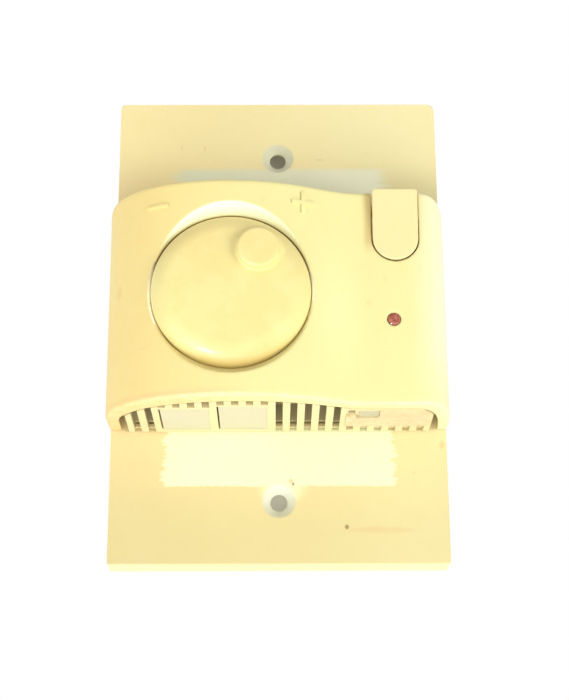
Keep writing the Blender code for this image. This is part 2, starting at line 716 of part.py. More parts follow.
def dial():
    """The domed dial with its skirt and hub, the finger boss, and the shaft in the hub."""
    under = DIAL_FACE_HEIGHT - DIAL_SHELL
    bore = SHAFT_RADIUS + GAP
    bore_top = under - 1.3
    hub_back = WELL_FLOOR_HEIGHT + 0.8
    skirt_back = WELL_FLOOR_HEIGHT + 2.1
    skirt_inside = DIAL_RADIUS - DIAL_SHELL
    profile = [(0.0, bore_top), (bore, bore_top), (bore, hub_back)]
    profile += [(HUB_RADIUS, hub_back), (HUB_RADIUS, under)]
    profile += [(DIAL_RADIUS - DIAL_EDGE_WIDTH, under), (skirt_inside, DIAL_RIM_HEIGHT - 0.6)]
    profile += [(skirt_inside, skirt_back), (DIAL_RADIUS, skirt_back)]
    edge_steps = 6
    for step in range(edge_steps + 1):
        angle = math.pi / 2 * step / edge_steps
        radius = DIAL_RADIUS - DIAL_EDGE_WIDTH * (1 - math.cos(angle))
        profile.append((radius, dial_face_height(radius)))
    profile += [(r, dial_face_height(r)) for r in (6.0, 0.0)]
    shape = bmesh.new()
    add_turned(shape, profile, DIAL_X, DIAL_Z, 64)
    origin = (DIAL_X, front(DIAL_RIM_HEIGHT), DIAL_Z)
    cap = finish_mesh("dial", shape, material("dial_plastic", CREAM, 0.3), origin, smooth=True)

    boss_x = DIAL_X + BOSS_OFFSET * math.sin(BOSS_ANGLE)
    boss_z = DIAL_Z + BOSS_OFFSET * math.cos(BOSS_ANGLE)
    foot = DIAL_FACE_HEIGHT
    fillet = BOSS_RADIUS + 0.7
    profile = [(0.0, foot - 1.2), (fillet, foot - 1.2), (fillet, foot + 0.05)]
    profile += [(BOSS_RADIUS + 0.25, foot + 0.35), (BOSS_RADIUS, foot + 0.9)]
    profile += [(BOSS_RADIUS - 0.1, BOSS_HEIGHT - 0.4), (BOSS_RADIUS - 0.5, BOSS_HEIGHT), (0.0, BOSS_HEIGHT)]
    boss = bmesh.new()
    add_turned(boss, profile, boss_x, boss_z, 32)
    cutter(cap, "UNION", "boss", boss)

    shape = bmesh.new()
    add_turned(shape, rod_profile(SHAFT_RADIUS, SHAFT_BACK, bore_top - GAP), DIAL_X, DIAL_Z, 24)
    steel = material("shaft_steel", (0.70, 0.70, 0.68), 0.35, 1.0)
    shaft = finish_mesh("pot_shaft", shape, steel, origin, smooth=True)
    flat = bmesh.new()
    reach = SHAFT_RADIUS + 1.0
    flat_y = (front(BEYOND), front(SHAFT_FLAT_START))
    add_box(flat, (DIAL_X - reach, DIAL_X + reach), flat_y, (DIAL_Z + SHAFT_FLAT, DIAL_Z + reach))
    cutter(shaft, "DIFFERENCE", "flat", flat)


def rocker_key():
    """The key is drawn upright and then tipped about its pins, lower end pressed in."""
    face = KEY_FACE_HEIGHT
    back = face - KEY_THICKNESS
    half = KEY_WIDTH / 2
    corner = 1.2
    corner_steps = 4
    outline = []
    for side, start in ((1, 0.0), (-1, math.pi / 2)):
        for step in range(corner_steps + 1):
            angle = start + math.pi / 2 * step / corner_steps
            centre_x = KEY_X + side * (half - corner)
            outline.append((centre_x + corner * math.cos(angle), KEY_TOP - corner + corner * math.sin(angle)))
    outline += tongue_outline(half, KEY_BOTTOM, KEY_TOP)[2:]
    shape = bmesh.new()
    add_prism(shape, outline, front(face), front(back))
    rim = [e for e in shape.edges if all(abs(v.co.y - front(face)) < 1e-4 for v in e.verts)]
    bmesh.ops.bevel(shape, geom=rim, offset=0.6, segments=3, affect="EDGES", profile=0.5)
    pivot = (KEY_X, front(PIVOT_HEIGHT), PIVOT_Z)
    key = finish_mesh("rocker_key", shape, material("key_plastic", CREAM, 0.3), pivot, smooth=True)

    pins = bmesh.new()
    add_rod(pins, pivot, PIN_RADIUS, 2 * (half + PIN_REACH), 16)
    pin = cutter(key, "UNION", "pins", pins)
    stem = bmesh.new()
    stem_x = (KEY_X - STEM_HALF_WIDTH, KEY_X + STEM_HALF_WIDTH)
    stem_z = (PLUNGER_Z - STEM_HALF_LENGTH, PLUNGER_Z + STEM_HALF_LENGTH)
    add_box(stem, stem_x, (front(back + 1.0), front(STEM_BACK)), stem_z)
    post = cutter(key, "UNION", "stem", stem)

    holder = bpy.data.objects.new("rocker_pivot", None)
    holder.location = Vector(pivot) * MM
    bpy.context.scene.collection.objects.link(holder)
    key.location = (0.0, 0.0, 0.0)
    for helper in (pin, post):
        helper.location = -Vector(pivot) * MM
    for piece in (key, pin, post):
        piece.parent = holder
    holder.rotation_euler = (KEY_TILT, 0.0, 0.0)


def switch():
    shape = bmesh.new()
    x = (KEY_X - SWITCH_HALF_WIDTH, KEY_X + SWITCH_HALF_WIDTH)
    z = (PLUNGER_CENTRE_Z - SWITCH_HALF_LENGTH, PLUNGER_CENTRE_Z + SWITCH_HALF_LENGTH)
    add_box(shape, x, (front(SWITCH_TOP), front(SEAT)), z)
    body = finish_mesh("switch_body", shape, material("switch_black", (0.05, 0.05, 0.05), 0.5))
    bore = bmesh.new()
    bore_profile = rod_profile(PLUNGER_RADIUS + GAP, PLUNGER_BACK - GAP, SWITCH_TOP + 1.0)
    add_turned(bore, bore_profile, KEY_X, PLUNGER_CENTRE_Z, 20)
    cutter(body, "DIFFERENCE", "bore", bore)

    chamfer = 0.4
    profile = [(0.0, PLUNGER_BACK), (PLUNGER_RADIUS, PLUNGER_BACK), (PLUNGER_RADIUS, PLUNGER_TOP - chamfer)]
    profile += [(PLUNGER_RADIUS - chamfer, PLUNGER_TOP), (0.0, PLUNGER_TOP)]
    shape = bmesh.new()
    add_turned(shape, profile, KEY_X, PLUNGER_CENTRE_Z, 20)
    centre = (KEY_X, front(PLUNGER_TOP), PLUNGER_CENTRE_Z)
    white = material("plunger_white", (0.85, 0.84, 0.78), 0.4)
    finish_mesh("switch_plunger", shape, white, centre, smooth=True)


def indicator():
    """A 3 mm lamp with its flange behind the cover, on a spacer tube from the board."""
    profile = [(0.0, LAMP_BACK), (LAMP_FLANGE_RADIUS, LAMP_BACK), (LAMP_FLANGE_RADIUS, LAMP_FLANGE_TOP)]
    profile += [(LAMP_RADIUS, LAMP_FLANGE_TOP)]
    dome_steps = 4
    for step in range(dome_steps):
        angle = math.pi / 2 * step / dome_steps
        profile.append((LAMP_RADIUS * math.cos(angle), LAMP_SHOULDER + LAMP_DOME * math.sin(angle)))
    profile.append((0.0, LAMP_SHOULDER + LAMP_DOME))
    shape = bmesh.new()
    add_turned(shape, profile, LAMP_X, LAMP_Z, 24)
    finish_mesh("indicator_lamp", shape, material("lamp_red", (0.55, 0.05, 0.03), 0.15), smooth=True)
    shape = bmesh.new()
    add_turned(shape, rod_profile(LAMP_HOLDER_RADIUS, SEAT, LAMP_BACK - 0.3), LAMP_X, LAMP_Z, 20)
    finish_mesh("lamp_holder", shape, material("holder_white", (0.80, 0.80, 0.76), 0.5), smooth=True)


def circuit_board():
    half = BOARD_HALF_WIDTH
    outline = rounded_rectangle((-half, half), (BOARD_BOTTOM, BOARD_TOP), 1.0, 2)
    shape = bmesh.new()
    add_prism(shape, outline, front(BOARD_FRONT), front(BOARD_BACK))
    board = finish_mesh("circuit_board", shape, material("board_tan", (0.52, 0.40, 0.22), 0.5))
    holes = bmesh.new()
    through = (BOARD_BACK - 1.0, BOARD_FRONT + 1.0)
    add_box(holes, WINDOW_X, (front(through[1]), front(through[0])), WINDOW_Z)
    add_turned(holes, rod_profile(POST_RADIUS + 0.5, *through), *COVER_SCREW, 20)
    for x, z in BOARD_SCREWS:
        add_turned(holes, rod_profile(POST_HOLE + 0.05, *through), x, z, 16)
    cutter(board, "DIFFERENCE", "holes", holes)


def box_component(name, limits, look, edge=0.5):
    """A block with chamfered edges that sits just clear of the board's front."""
    x, z, top = limits
    shape = bmesh.new()
    add_box(shape, x, (front(top), front(SEAT)), z)
    made = finish_mesh(name, shape, look)
    rounding = made.modifiers.new("edges", "BEVEL")
    rounding.width = edge * MM
    rounding.segments = 1
    rounding.limit_method = "ANGLE"
    return made


def potentiometer():
    half = POTENTIOMETER_HALF
    shape = bmesh.new()
    y = (front(POTENTIOMETER_TOP), front(SEAT))
    add_box(shape, (DIAL_X - half, DIAL_X + half), y, (DIAL_Z - half, DIAL_Z + half))
    body = finish_mesh("potentiometer_body", shape, material("pot_green", (0.10, 0.25, 0.22), 0.45))
    bush = bmesh.new()
    add_turned(bush, rod_profile(BUSH_RADIUS, POTENTIOMETER_TOP - 1.8, BUSH_TOP), DIAL_X, DIAL_Z, 24)
    cutter(body, "UNION", "bush", bush)
    bore = bmesh.new()
    add_turned(bore, rod_profile(SHAFT_RADIUS + GAP, SHAFT_BACK - GAP, BUSH_TOP + 1.0), DIAL_X, DIAL_Z, 24)
    cutter(body, "DIFFERENCE", "bore", bore)


def terminal_block():
    """Four cage clamps in a row; wires enter from above and each has its own screw."""
    shape = bmesh.new()
    x = (TERMINAL_X, TERMINAL_X + TERMINALS * TERMINAL_PITCH)
    z = (TERMINAL_Z - TERMINAL_HALF_DEPTH, TERMINAL_Z + TERMINAL_HALF_DEPTH)
    add_box(shape, x, (front(TERMINAL_TOP), front(SEAT)), z)
    block = finish_mesh("terminal_block", shape, material("terminal_grey", (0.40, 0.40, 0.37), 0.45))
    wells = bmesh.new()
    mouths = bmesh.new()
    well_floor = 13.0
    screw_seat = well_floor + 1.8
    for index in range(TERMINALS):
        x = TERMINAL_X + (index + 0.5) * TERMINAL_PITCH
        add_turned(wells, rod_profile(1.9, well_floor, TERMINAL_TOP + 1.0), x, TERMINAL_Z, 16)
        add_box(mouths, (x - 1.6, x + 1.6), (front(12.4), front(9.4)), (TERMINAL_Z - 2.0, z[1] + 1.0))
        screw(f"terminal_screw_{index + 1}", (x, TERMINAL_Z), screw_seat, 1.55, 1.4, 0.9, 1.4)
    cutter(block, "DIFFERENCE", "screw_wells", wells)
    cutter(block, "DIFFERENCE", "wire_mouths", mouths)


def electrolytic_capacitor():
    radius, top = ELECTROLYTIC_RADIUS, ELECTROLYTIC_TOP
    groove = radius - 0.3
    profile = [(0.0, SEAT), (radius, SEAT), (radius, SEAT + 0.9), (groove, SEAT + 1.2), (radius, SEAT + 1.5)]
    profile += [(radius, top - 0.4), (radius - 0.4, top), (0.0, top)]
    shape = bmesh.new()
    add_turned(shape, profile, *ELECTROLYTIC_CENTRE, 24)
    sleeve = material("electrolytic_blue", (0.05, 0.08, 0.22), 0.35)
    finish_mesh("electrolytic_capacitor", shape, sleeve, smooth=True)


def control_chip():
    chip = box_component("control_chip", CONTROL_CHIP, material("chip_black", (0.03, 0.03, 0.03), 0.5), 0.3)
    (left, right), (low, _), top = CONTROL_CHIP
    legs = bmesh.new()
    for row in range(4):
        z = low + 1.0 + row * CHIP_LEG_PITCH
        for x in ((left - CHIP_LEG_REACH, left + 0.6), (right - 0.6, right + CHIP_LEG_REACH)):
            add_box(legs, x, (front(top - 1.3), front(SEAT)), (z - 0.3, z + 0.3))
    cutter(chip, "UNION", "legs", legs)


def resistors():
    tan = material("resistor_tan", (0.62, 0.50, 0.32), 0.5)
    for index in range(3):
        centre = (RESISTOR_X, front(SEAT + RESISTOR_RADIUS), RESISTOR_FIRST_Z + index * RESISTOR_PITCH)
        shape = bmesh.new()
        add_rod(shape, centre, RESISTOR_RADIUS, RESISTOR_LENGTH, 12)
        body = finish_mesh(f"resistor_{index + 1}", shape, tan, smooth=True)
        lead = bmesh.new()
        add_rod(lead, centre, 0.35, RESISTOR_LENGTH + 3.0, 8)
        cutter(body, "UNION", "leads", lead)


def thermistor():
    profile = [(0.0, SEAT), (0.9, SEAT), (0.9, SEAT + 3.6), (1.4, SEAT + 4.4), (1.4, SEAT + 5.2)]
    profile += [(0.8, SEAT + 5.9), (0.0, SEAT + 5.9)]
    shape = bmesh.new()
    add_turned(shape, profile, *THERMISTOR_CENTRE, 16)
    finish_mesh("thermistor", shape, material("thermistor_black", (0.05, 0.05, 0.06), 0.4), smooth=True)


def fasteners():
    for name, centre in zip(("base_screw_left", "base_screw_right"), TRAY_SCREWS):
        screw(name, centre, TRAY_FLOOR + 0.3, 2.7, 1.7, 1.2, 7.2)
    for name, centre in zip(("board_screw_1", "board_screw_2"), BOARD_SCREWS):
        screw(name, centre, SEAT, 2.1, 1.4, 0.95, 5.6)
    screw("cover_screw", COVER_SCREW, WELL_FLOOR_HEIGHT + 0.3, 2.4, 1.4, 0.95, 8.5)


def main():
    clear_scene()
    wall_plate()
    base_tray()
    front_cover()
    lower = BODY_BOTTOM + GRILLE_RECESS
    panel = grille("vent_grille_lower", lower, lower + GRILLE_THICKNESS, False)
    for name, x, heights in LABELS:
        sticker(panel, name, x, heights, lower)
    moulded_panel(panel, lower)
    upper = BODY_TOP - GRILLE_RECESS
    grille("vent_grille_upper", upper - GRILLE_THICKNESS, upper, True)
    dial()
    rocker_key()
    switch()
    indicator()
    circuit_board()
    potentiometer()
    terminal_block()
    box_component("relay", RELAY, material("relay_black", (0.04, 0.04, 0.05), 0.4))
    yellow = material("capacitor_yellow", (0.75, 0.60, 0.12), 0.45)
    box_component("film_capacitor", FILM_CAPACITOR, yellow, 0.8)
    electrolytic_capacitor()
    control_chip()
    resistors()
    thermistor()
    fasteners()


main()
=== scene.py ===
"""Looks of the wall thermostat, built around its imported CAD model.

Shapes are drawn in millimetres in the row frame: X to the right, Z up, Y into the wall, and the front faces
-Y. A `height` says how far a point stands in front of the wall plate's face. Material graphs read the same
millimetres from object coordinates, so their patterns stay on a piece when it moves.
"""

import math

import bmesh
import bpy
from mathutils import Euler, Matrix, Vector


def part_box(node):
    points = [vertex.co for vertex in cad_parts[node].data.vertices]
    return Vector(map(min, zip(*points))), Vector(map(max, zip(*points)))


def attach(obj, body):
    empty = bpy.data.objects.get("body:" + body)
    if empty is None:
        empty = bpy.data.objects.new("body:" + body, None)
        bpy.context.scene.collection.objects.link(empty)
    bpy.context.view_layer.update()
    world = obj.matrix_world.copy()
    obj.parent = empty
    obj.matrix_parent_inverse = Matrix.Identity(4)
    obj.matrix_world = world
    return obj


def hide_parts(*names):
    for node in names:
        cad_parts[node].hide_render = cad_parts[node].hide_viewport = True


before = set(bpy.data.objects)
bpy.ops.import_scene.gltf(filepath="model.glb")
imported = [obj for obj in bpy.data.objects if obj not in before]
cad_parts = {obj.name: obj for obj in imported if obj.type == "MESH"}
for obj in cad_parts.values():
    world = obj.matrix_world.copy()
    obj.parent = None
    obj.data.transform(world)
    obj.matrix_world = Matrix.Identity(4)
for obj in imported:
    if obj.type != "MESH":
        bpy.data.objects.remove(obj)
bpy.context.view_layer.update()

MM = 0.001
# Clearances: between pieces in general, round the key and round the dial, which sits a little low in its well
GAP = 0.35
KEY_GAP = 0.20
DIAL_GAP = 0.10
DIAL_DROP = 0.06
# Past the object's front and sides, for cutters
BEYOND = 40.0


def limits(node):
    """Lowest and highest corner of a CAD node, in millimetres."""
    low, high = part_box(node)
    return low / MM, high / MM


# Wall plate
plate_low, plate_high = limits("wall_plate")
PLATE_THICKNESS = -plate_low.y
PLATE_SKIN = 2.5
PLATE_RIM = 2.2
PLATE_EDGE = 0.45
# Corner radii, from the upper right round by the left
PLATE_CORNERS = (1.5, 0.9, 0.6, 0.7)
PLATE_RIB = 1.6
BOX_SCREW_SPACING = 83.5
BOX_SCREWS = ((0.0, -BOX_SCREW_SPACING / 2), (0.0, BOX_SCREW_SPACING / 2))
BOX_SCREW_HOLE = 1.9
COUNTERSINK_RADIUS = 3.7
COUNTERSINK_DEPTH = 1.9
RELIEF_RADIUS = 3.6
BOX_BOSS_RADIUS = 5.5
CENTRE_BOSS_RADIUS = 4.5
TRAY_BOSS_RADIUS = 3.4
TRAY_SCREW_HOLE = 1.55
TRAY_SCREWS = ((-27.0, 3.0), (27.0, 3.0))
RIB_CORNER = 0.8
WINDOW_X = (6.5, 18.9)
WINDOW_Z = (-9.0, 7.0)

# Cover band: its front is a hump, a wave and a flat
cover_low, cover_high = limits("front_cover")
BODY_BOTTOM = cover_low.z
BODY_TOP = cover_high.z
BODY_HALF_WIDTH = cover_high.x
HUMP_X = -10.0
HUMP_HEIGHT = 28.1
FLAT_X = 19.4
FLAT_HEIGHT = 20.9
SHOULDER_X = 31.3
WAVE_LEAN = 0.055
COVER_WALL = 2.0
COVER_EDGE = 0.9
SIDE_LIFT = 0.7
FLANGE = 1.8
OPENING_SCALE_X = 0.93
OPENING_SCALE_HEIGHT = 0.83

# Minus and plus marks
MARK_RAISE = 0.34
MARK_HALF_STROKE = 0.45
MARK_FIELD_BOTTOM = 10.0
MINUS_CENTRE = (-26.2, 17.9)
MINUS_HALF_LENGTH = 2.3
PLUS_CENTRE = (5.5, 18.8)
PLUS_HALF_LENGTH = 2.5

# Dial in its well
dial_low, dial_high = limits("dial")
DIAL_X = (dial_low.x + dial_high.x) / 2
DIAL_Z = (dial_low.z + dial_high.z) / 2
DIAL_RADIUS = (dial_high.x - dial_low.x) / 2
DIAL_RIM_HEIGHT = 24.3
DIAL_FACE_HEIGHT = 28.2
DIAL_CROWN = 0.4
DIAL_EDGE_WIDTH = 5.0
DIAL_SHELL = 1.8
WELL_FLOOR_HEIGHT = 16.5
WELL_FLOOR_THICKNESS = 1.5
WELL_WALL = 1.5
POCKET_RADIUS = 19.5
BOSS_ANGLE = math.radians(36.0)
BOSS_OFFSET = 10.1
BOSS_RADIUS = 4.6
BOSS_HEIGHT = 30.2
BOSS_FILLET = 0.9
BOSS_ROUNDING = 0.5
SHAFT_RADIUS = 3.0
HUB_RADIUS = 5.0
COVER_SCREW = (-20.9, -6.0)
COVER_SCREW_HOLE = 1.8

# Rocker key on its pivot pins
KEY_X = 25.7
KEY_WIDTH = 10.0
KEY_BOTTOM = 7.35
KEY_TOP = 23.6
KEY_FACE_HEIGHT = 21.75
KEY_THICKNESS = 2.8
KEY_TILT = math.radians(5.7)
KEY_CORNER = 0.35
KEY_EDGE = 0.6
PIVOT_Z = 16.0
PIVOT_HEIGHT = 19.4
PIN_RADIUS = 0.7
PIN_REACH = 1.0
EAR_DEPTH = 3.4
EAR_WIDTH = 2.4
EAR_HALF_LENGTH = 2.2
STEM_HALF_WIDTH = 1.6
STEM_HALF_LENGTH = 1.2
STEM_BACK = 16.0
PLUNGER_Z = 10.2

# Indicator lamp
lamp_low, lamp_high = limits("indicator_lamp")
LAMP_X = (lamp_low.x + lamp_high.x) / 2
LAMP_Z = (lamp_low.z + lamp_high.z) / 2
LAMP_RADIUS = 1.45
LAMP_HOLE_RADIUS = 1.52
LAMP_FLANGE_RADIUS = (lamp_high.x - lamp_low.x) / 2
LAMP_BACK = 16.7
LAMP_FLANGE_TOP = 17.5
LAMP_SHOULDER = 20.5
LAMP_DOME = 0.55

# Vent grilles
VENT_SLOTS = 21
VENT_PITCH = 3.13
VENT_SLOT_WIDTH = 1.55
VENT_CENTRE_X = 0.1
VENT_HALF_WIDTH = 33.4
GRILLE_FOOT = 0.4
GRILLE_SPINE = 1.2
SLOT_FOOT = GRILLE_FOOT + GRILLE_SPINE
SPINE_RECESS = 0.8
KEY_ROOM_HEIGHT = 14.5

# Labels and moulded field on the lower grille, each as x limits and height limits
LABELS = (((-25.75, -14.75), (2.5, 17.6)), ((-13.2, -2.2), (2.5, 19.4)))
MOULDED_FIELD = ((14.3, 33.2), (5.0, 16.4))
FIELD_SHOULDER = 13.0
GREY_PATCH_LEFT = 16.9
PATCH_SHIFT = 0.45
PATCH_GROWTH = 0.22
PATCH_CUT = 0.8
# Clearance round a label in its bed, the bar that closes the slots above it, and the dark seam beside it
SEAM = 0.03
SEAM_COVER = 0.75
SEAM_SHADOW = 0.35
SEAM_DEPTH = 2.2

# Plain finishes of inner CAD nodes: node, material, light tone, dark tone and roughness
NODE_FINISHES = (
    ("base_tray", "tray_plastic", (0.74, 0.66, 0.38), (0.70, 0.61, 0.34), 0.5),
    ("switch_body", "switch_black", (0.030, 0.030, 0.032), (0.045, 0.045, 0.045), 0.5),
    ("switch_plunger", "plunger_white", (0.80, 0.79, 0.72), (0.74, 0.73, 0.66), 0.4),
    ("lamp_holder", "holder_white", (0.78, 0.78, 0.74), (0.72, 0.72, 0.68), 0.5),
    ("circuit_board", "board_tan", (0.52, 0.40, 0.22), (0.46, 0.34, 0.18), 0.5),
    ("potentiometer_body", "pot_green", (0.08, 0.21, 0.18), (0.10, 0.25, 0.21), 0.4),
    ("terminal_block", "terminal_grey", (0.40, 0.40, 0.37), (0.35, 0.35, 0.32), 0.4),
    ("relay", "relay_black", (0.035, 0.035, 0.040), (0.050, 0.050, 0.055), 0.35),
    ("film_capacitor", "capacitor_yellow", (0.68, 0.53, 0.10), (0.74, 0.58, 0.13), 0.4),
    ("electrolytic_capacitor", "electrolytic_blue", (0.03, 0.05, 0.16), (0.05, 0.07, 0.20), 0.3),
    ("control_chip", "chip_black", (0.025, 0.025, 0.025), (0.04, 0.04, 0.04), 0.5),
    ("resistor_1", "resistor_tan", (0.58, 0.45, 0.27), (0.50, 0.38, 0.22), 0.45),
    ("thermistor", "thermistor_black", (0.035, 0.035, 0.04), (0.05, 0.05, 0.055), 0.35),
)

# Bits of the wall behind the screw holes: height limits, radius, and how far up the wall they are shifted
WALL_DISC = (-7.1, -6.8)
WALL_DISC_RADIUS = 3.0
WALL_DISC_SHIFT = 1.6

# Camera: focal length and sensor, place, and turns about X, Y and Z in degrees: it looks up by 19.2 degrees
CAMERA_LENS = 82.565
CAMERA_SENSOR = 36.0
CAMERA_PLACE = (-0.786, -351.657, -126.755)
CAMERA_TURN = (109.2143, 0.2430, -0.2771)

# The world's strength in front of the object; it rises to 1 behind it, between two values of the sky's Y
FRONT_SKY = 0.55
SKY_RISE = (-0.25, 0.45)
LIGHT_TARGET = (0.0, -20.0, 0.0)
# Lights: name, direction, distance and size in metres, strength, and whether it only makes highlights
LIGHTS = (
    ("from_below", (0.05, -0.70, -0.71), 0.65, 0.80, 0.58, False),
    ("bounce", (0.0, -0.08, -1.0), 0.58, 0.60, 0.54, False),
    ("from_right", (0.79, -0.58, -0.22), 0.85, 0.40, 0.70, False),
    ("from_left", (-0.87, -0.44, -0.22), 0.90, 0.55, 0.52, False),
    ("glint", (-0.36, -0.71, -0.60), 0.70, 0.13, 0.80, True),
)
# Floor, in metres
FLOOR_HALF = 4.0
FLOOR_LEVEL = -0.62

BROWN = (0.28, 0.17, 0.07)
TAN = (0.58, 0.42, 0.20)
RUST = (0.72, 0.42, 0.16)
# Pale cream painted into the lower part of the gap round the dial: painted light where the gap would look
# dark
GAP_PAINTED_LIGHT = (0.95, 0.87, 0.60)
# Stains on the cover: x, z, half width, half height and depth of colour
COVER_STAINS = (
    (19.6, -3.0, 0.7, 0.9, 0.16), (23.2, 2.8, 0.5, 0.9, 0.12), (-3.3, 18.6, 0.6, 0.6, 0.14),
    (-34.8, 0.5, 0.7, 1.4, 0.30), (-29.0, -14.2, 1.0, 0.25, 0.18),
)
# Marks of use on the plate: x, z, half width, half height, depth of colour and colour
PLATE_MARKS = (
    (-22.8, 44.5, 0.25, 0.7, 0.35, TAN), (-17.3, 44.3, 0.25, 0.6, 0.35, TAN),
    (10.0, 41.3, 0.9, 0.25, 0.35, TAN), (2.7, -37.2, 0.55, 0.5, 0.7, TAN),
    (3.2, -37.9, 0.3, 0.4, 0.8, BROWN), (14.9, -47.6, 0.45, 0.5, 0.9, BROWN),
    (22.5, -48.3, 7.5, 0.7, 0.42, TAN), (20.5, -48.0, 3.0, 0.5, 0.32, TAN),
    (30.0, -35.4, 0.3, 0.3, 0.5, TAN), (36.4, -29.0, 0.6, 0.8, 0.5, RUST),
    (-33.0, -29.5, 0.3, 0.25, 0.3, TAN),
)


def front(height):
    """Y of a point that stands `height` in front of the plate's face."""
    return -(PLATE_THICKNESS + height)


# Drawing

def smooth(piece, angle=35.0):
    piece.data.shade_smooth()
    piece.data.set_sharp_from_angle(angle=math.radians(angle))


def made_from(name, shape, smooth_angle=35.0):
    """Turn a bmesh drawn in millimetres into an object in metres."""
    bmesh.ops.recalc_face_normals(shape, faces=shape.faces)
    if shape.calc_volume(signed=True) < 0:
        bmesh.ops.reverse_faces(shape, faces=shape.faces)
    bmesh.ops.scale(shape, verts=shape.verts, vec=(MM, MM, MM))
    mesh = bpy.data.meshes.new(name)
    shape.to_mesh(mesh)
    shape.free()
    made = bpy.data.objects.new(name, mesh)
    bpy.context.scene.collection.objects.link(made)
    smooth(made, smooth_angle)
    return made


def add_box(shape, x, y, z):
    size = Vector((x[1] - x[0], y[1] - y[0], z[1] - z[0]))
    middle = Vector((x[0] + x[1], y[0] + y[1], z[0] + z[1])) / 2
    placed = Matrix.Translation(middle) @ Matrix.Diagonal((*size, 1.0))
    bmesh.ops.create_cube(shape, size=1.0, matrix=placed)


def add_prism(shape, outline, start, end, along="Y"):
    """Add an outline of (x, z) points swept along Y, or of (x, height) points swept along Z."""
    def place(point, station):
        if along == "Y":
            return (point[0], station, point[1])
        return (point[0], front(point[1]), station)

    rings = [[shape.verts.new(place(point, station)) for point in outline] for station in (start, end)]
    shape.faces.new(rings[0])
    shape.faces.new(reversed(rings[1]))
    for i in range(len(outline)):
        j = (i + 1) % len(outline)
        shape.faces.new((rings[0][i], rings[1][i], rings[1][j], rings[0][j]))


def add_turned(shape, profile, x, z, steps=64):
    """Spin a closed profile of (radius, height) points about the line through (x, z) along Y."""
    rings = []
    for radius, height in profile:
        if radius == 0.0:
            rings.append([shape.verts.new((x, front(height), z))])
            continue
        ring = []
        for step in range(steps):
            angle = 2 * math.pi * step / steps
            place = (x + radius * math.cos(angle), front(height), z + radius * math.sin(angle))
            ring.append(shape.verts.new(place))
        rings.append(ring)
    for first, second in zip(rings, rings[1:] + rings[:1]):
        if len(first) == 1 and len(second) == 1:
            continue
        for step in range(steps):
            after = (step + 1) % steps
            if len(first) == 1:
                shape.faces.new((first[0], second[step], second[after]))
            elif len(second) == 1:
                shape.faces.new((first[step], first[after], second[0]))
            else:
                shape.faces.new((first[step], first[after], second[after], second[step]))


def arc(x, z, radius, start, turn, steps):
    """Points along an arc about (x, z), with its first and its last one."""
    angles = [start + turn * step / steps for step in range(steps + 1)]
    return [(x + radius * math.cos(angle), z + radius * math.sin(angle)) for angle in angles]


def rod_profile(radius, back, head):
    return [(0.0, back), (radius, back), (radius, head), (0.0, head)]


def add_rod(shape, centre, radius, length, steps):
    """Add a round rod along X, centred on `centre`."""
    turn = Matrix.Translation(centre) @ Matrix.Rotation(math.pi / 2, 4, "Y")
    bmesh.ops.create_cone(
        shape, cap_ends=True, segments=steps, radius1=radius, radius2=radius, depth=length, matrix=turn
    )


def rounded_rectangle(x, z, radii, steps=8):
    """Points round a rectangle; the radii start at its upper right corner and go round by the left."""
    points = []
    corners = ((x[1], z[1], 0), (x[0], z[1], 1), (x[0], z[0], 2), (x[1], z[0], 3))
    for (corner_x, corner_z, quarter), radius in zip(corners, radii):
        centre_x = corner_x - math.copysign(radius, corner_x - sum(x) / 2)
        centre_z = corner_z - math.copysign(radius, corner_z - sum(z) / 2)
        points += arc(centre_x, centre_z, radius, math.pi / 2 * quarter, math.pi / 2, steps)
    return points


def bezier(start, start_handle, end_handle, end, steps):
    """Points along a cubic, without its last one."""
    curve = []
    for step in range(steps):
        t = step / steps
        weights = ((1 - t) ** 3, 3 * t * (1 - t) ** 2, 3 * t * t * (1 - t), t ** 3)
        corners = (start, start_handle, end_handle, end)
        curve.append(tuple(sum(w * c[k] for w, c in zip(weights, corners)) for k in (0, 1)))
    return curve


def front_outline(foot=0.3):
    """The cover's outer line, from its left foot over the hump and the wave to its right foot."""
    left_turn = (-BODY_HALF_WIDTH, 7.7)
    hump = (HUMP_X, HUMP_HEIGHT)
    flat_start = (FLAT_X, FLAT_HEIGHT)
    flat_end = (SHOULDER_X, FLAT_HEIGHT)
    right_foot = (BODY_HALF_WIDTH, foot)
    line = [(-BODY_HALF_WIDTH, foot)]
    line += bezier(left_turn, (-BODY_HALF_WIDTH, 20.7), (HUMP_X - 15.5, HUMP_HEIGHT), hump, 44)
    line += bezier(hump, (HUMP_X + 16.7, HUMP_HEIGHT), (FLAT_X - 8.7, FLAT_HEIGHT), flat_start, 44)
    line += [(FLAT_X + (SHOULDER_X - FLAT_X) * k / 4, FLAT_HEIGHT) for k in range(4)]
    line += bezier(flat_end, (SHOULDER_X + 5.2, FLAT_HEIGHT), (BODY_HALF_WIDTH, 7.6), right_foot, 36)
    line += [right_foot]
    return line


def offset_line(line, distance):
    """Move each point of the cover's line outwards by `distance`; its ends stay on their own height."""
    moved = []
    for index, point in enumerate(line):
        before = Vector(line[max(index - 1, 0)])
        after = Vector(line[min(index + 1, len(line) - 1)])
        along = (after - before).normalized()
        shifted = Vector(point) + Vector((-along.y, along.x)) * distance
        if index in (0, len(line) - 1):
            shifted.y = point[1]
        moved.append(tuple(shifted))
    return moved


def opening_line(shrink=0.0):
    """The line round the cover's open ends, a smaller copy of its front."""
    line = [(x * OPENING_SCALE_X, h * OPENING_SCALE_HEIGHT) for x, h in front_outline(foot=-2.0)]
    return offset_line(line, -shrink)


def leaned(x, z):
    """The hump and the wave run slightly off the vertical, and the sides stay upright."""
    return x - WAVE_LEAN * z * (1 - (x / BODY_HALF_WIDTH) ** 2)


